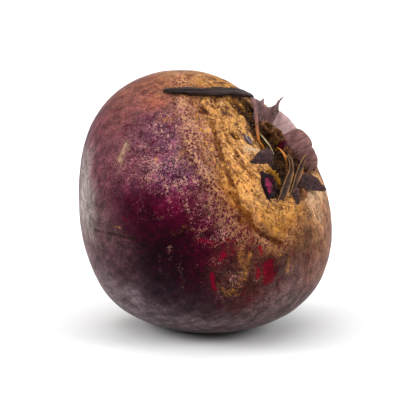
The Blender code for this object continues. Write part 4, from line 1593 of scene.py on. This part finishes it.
SOFTBOXES = (
    Softbox("overhead_softbox", (-0.08, -0.16, 1.1), 1.8, 21.5),
    Softbox("left_softbox", (-0.98, 0.0, 0.48), 0.5, 9.5),
    Softbox("crown_side_softbox", (0.9, -0.4, 0.6), 0.5, 9.0),
)


@dataclass
class Studio:
    """A plain pale floor, soft light and the camera."""

    aim: Vector
    elevation: float = 13.0
    distance: float = 1.4
    view_width: float = 0.12856
    sensor: float = 36.0
    shift_right: float = -0.0025
    shift_up: float = -0.00026
    around: float = 1.1
    front: float = 0.22
    paper: str = "#cacaca"

    def build(self) -> None:
        """Sets up the floor, the lights, the world and the camera."""
        scene = bpy.context.scene
        scene.view_settings.view_transform = "Standard"
        self._floor()
        self._world(scene)
        for box in SOFTBOXES:
            box.build(self.aim)
        self._camera(scene)

    def _floor(self) -> None:
        """A wide matt floor that isn't part of the object."""
        shape = bmesh.new()
        bmesh.ops.create_grid(shape, x_segments=1, y_segments=1, size=6.0)
        mesh = bpy.data.meshes.new("pale_floor")
        shape.to_mesh(mesh)
        shape.free()
        floor = bpy.data.objects.new("pale_floor", mesh)
        bpy.context.scene.collection.objects.link(floor)
        sheet = new_material("white_studio_paper")
        set_shader(sheet, Base_Color=linear(self.paper), Roughness=0.9, Specular_IOR_Level=0.1)
        mesh.materials.append(sheet)

    def _world(self, scene: bpy.types.Scene) -> None:
        """White walls behind and beside the object and a dimmer room before it."""
        world = bpy.data.worlds.new("studio_walls")
        scene.world = world
        world.use_nodes = True
        tree = world.node_tree
        facing = add_node(tree, "ShaderNodeTexCoord").outputs["Generated"]
        depth = add_node(tree, "ShaderNodeSeparateXYZ", {0: facing}).outputs[1]
        inputs = {"Value": depth, "From Min": -0.75, "From Max": 0.1}
        inputs |= {"To Min": self.front, "To Max": self.around}
        level = add_node(tree, "ShaderNodeMapRange", inputs).outputs["Result"]
        seen = add_node(tree, "ShaderNodeLightPath").outputs["Is Camera Ray"]
        strength = add_node(tree, "ShaderNodeMix", {0: seen, 2: level, 3: 1.0}).outputs[0]
        background = tree.nodes["Background"]
        background.inputs["Color"].default_value = (1.0, 1.0, 1.0, 1.0)
        tree.links.new(strength, background.inputs["Strength"])

    def _camera(self, scene: bpy.types.Scene) -> None:
        """A long lens that looks along +Y and a little down."""
        tilt = math.radians(self.elevation)
        forward = Vector((0.0, math.cos(tilt), -math.sin(tilt)))
        up = Vector((0.0, math.sin(tilt), math.cos(tilt)))
        target = self.aim + Vector((1.0, 0.0, 0.0)) * self.shift_right + up * self.shift_up
        lens = bpy.data.cameras.new("camera")
        lens.sensor_width = self.sensor
        lens.lens = self.sensor * self.distance / self.view_width
        lens.clip_start = 0.05
        camera = bpy.data.objects.new("camera", lens)
        camera.location = target - forward * self.distance
        camera.rotation_euler = (math.radians(90) - tilt, 0.0, 0.0)
        scene.collection.objects.link(camera)
        scene.camera = camera


# --------------------------------------------------------------------------------------------------
# The whole beetroot
# --------------------------------------------------------------------------------------------------


@dataclass
class Beetroot:
    """The root with everything that stands on its crown.

    Densities are in pieces for each square metre; the fibres' thickness and bend are shares of their length.
    """

    bulb: Bulb
    crumb_density: float = 4e5
    crumb_least: float = 0.08 * MM
    crumb_most: float = 0.28 * MM
    fibre_density: float = 1.6e6
    fibre_length: float = 3.4 * MM
    fibre_thickness: float = 0.028
    fibre_bend: float = 0.35
    fibre_lie: float = 1.1

    def build(self) -> None:
        """Makes every piece."""
        skin = Root(self.bulb).build()
        settle(skin, "swollen_root")
        grower = shrivel_grower()
        for piece in stalk_pieces() + sheet_pieces() + stub_pieces():
            piece.build(self.bulb, grower)
        self._scatter(skin)

    def _scatter(self, skin: bpy.types.Object) -> None:
        """Adds the cork crumbs and the fibres that grow from the skin."""
        crumbs = self._copy(skin, "cork_crumbs")
        cork = Crumble("cork_crumb", "#e3b06a", "#8f5c34").material()
        crumb_grower().run(crumbs, density=self.crumb_density, least=self.crumb_least,
                           most=self.crumb_most, seed=CRUMB_SEED, material=cork)
        settle(crumbs, None)
        hairs = self._copy(skin, "crown_fibres")
        dry = Crumble("dry_crown_fibre", "#7d5f4c", "#241715").material()
        fibre_grower().run(hairs, density=self.fibre_density, length=self.fibre_length,
                           thickness=self.fibre_thickness, bend=self.fibre_bend, lie=self.fibre_lie,
                           seed=FIBRE_SEED, material=dry)
        settle(hairs, None)

    def _copy(self, skin: bpy.types.Object, name: str) -> bpy.types.Object:
        """A copy of the skin for things to grow on."""
        piece = bpy.data.objects.new(name, skin.data.copy())
        bpy.context.scene.collection.objects.link(piece)
        return piece


def main() -> None:
    """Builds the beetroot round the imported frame, then the studio."""
    logging.basicConfig(level=logging.INFO, format="%(name)s: %(message)s")
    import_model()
    bulb = Bulb()
    Beetroot(bulb).build()
    Studio(bulb.centre).build()


if __name__ == "__main__":
    main()
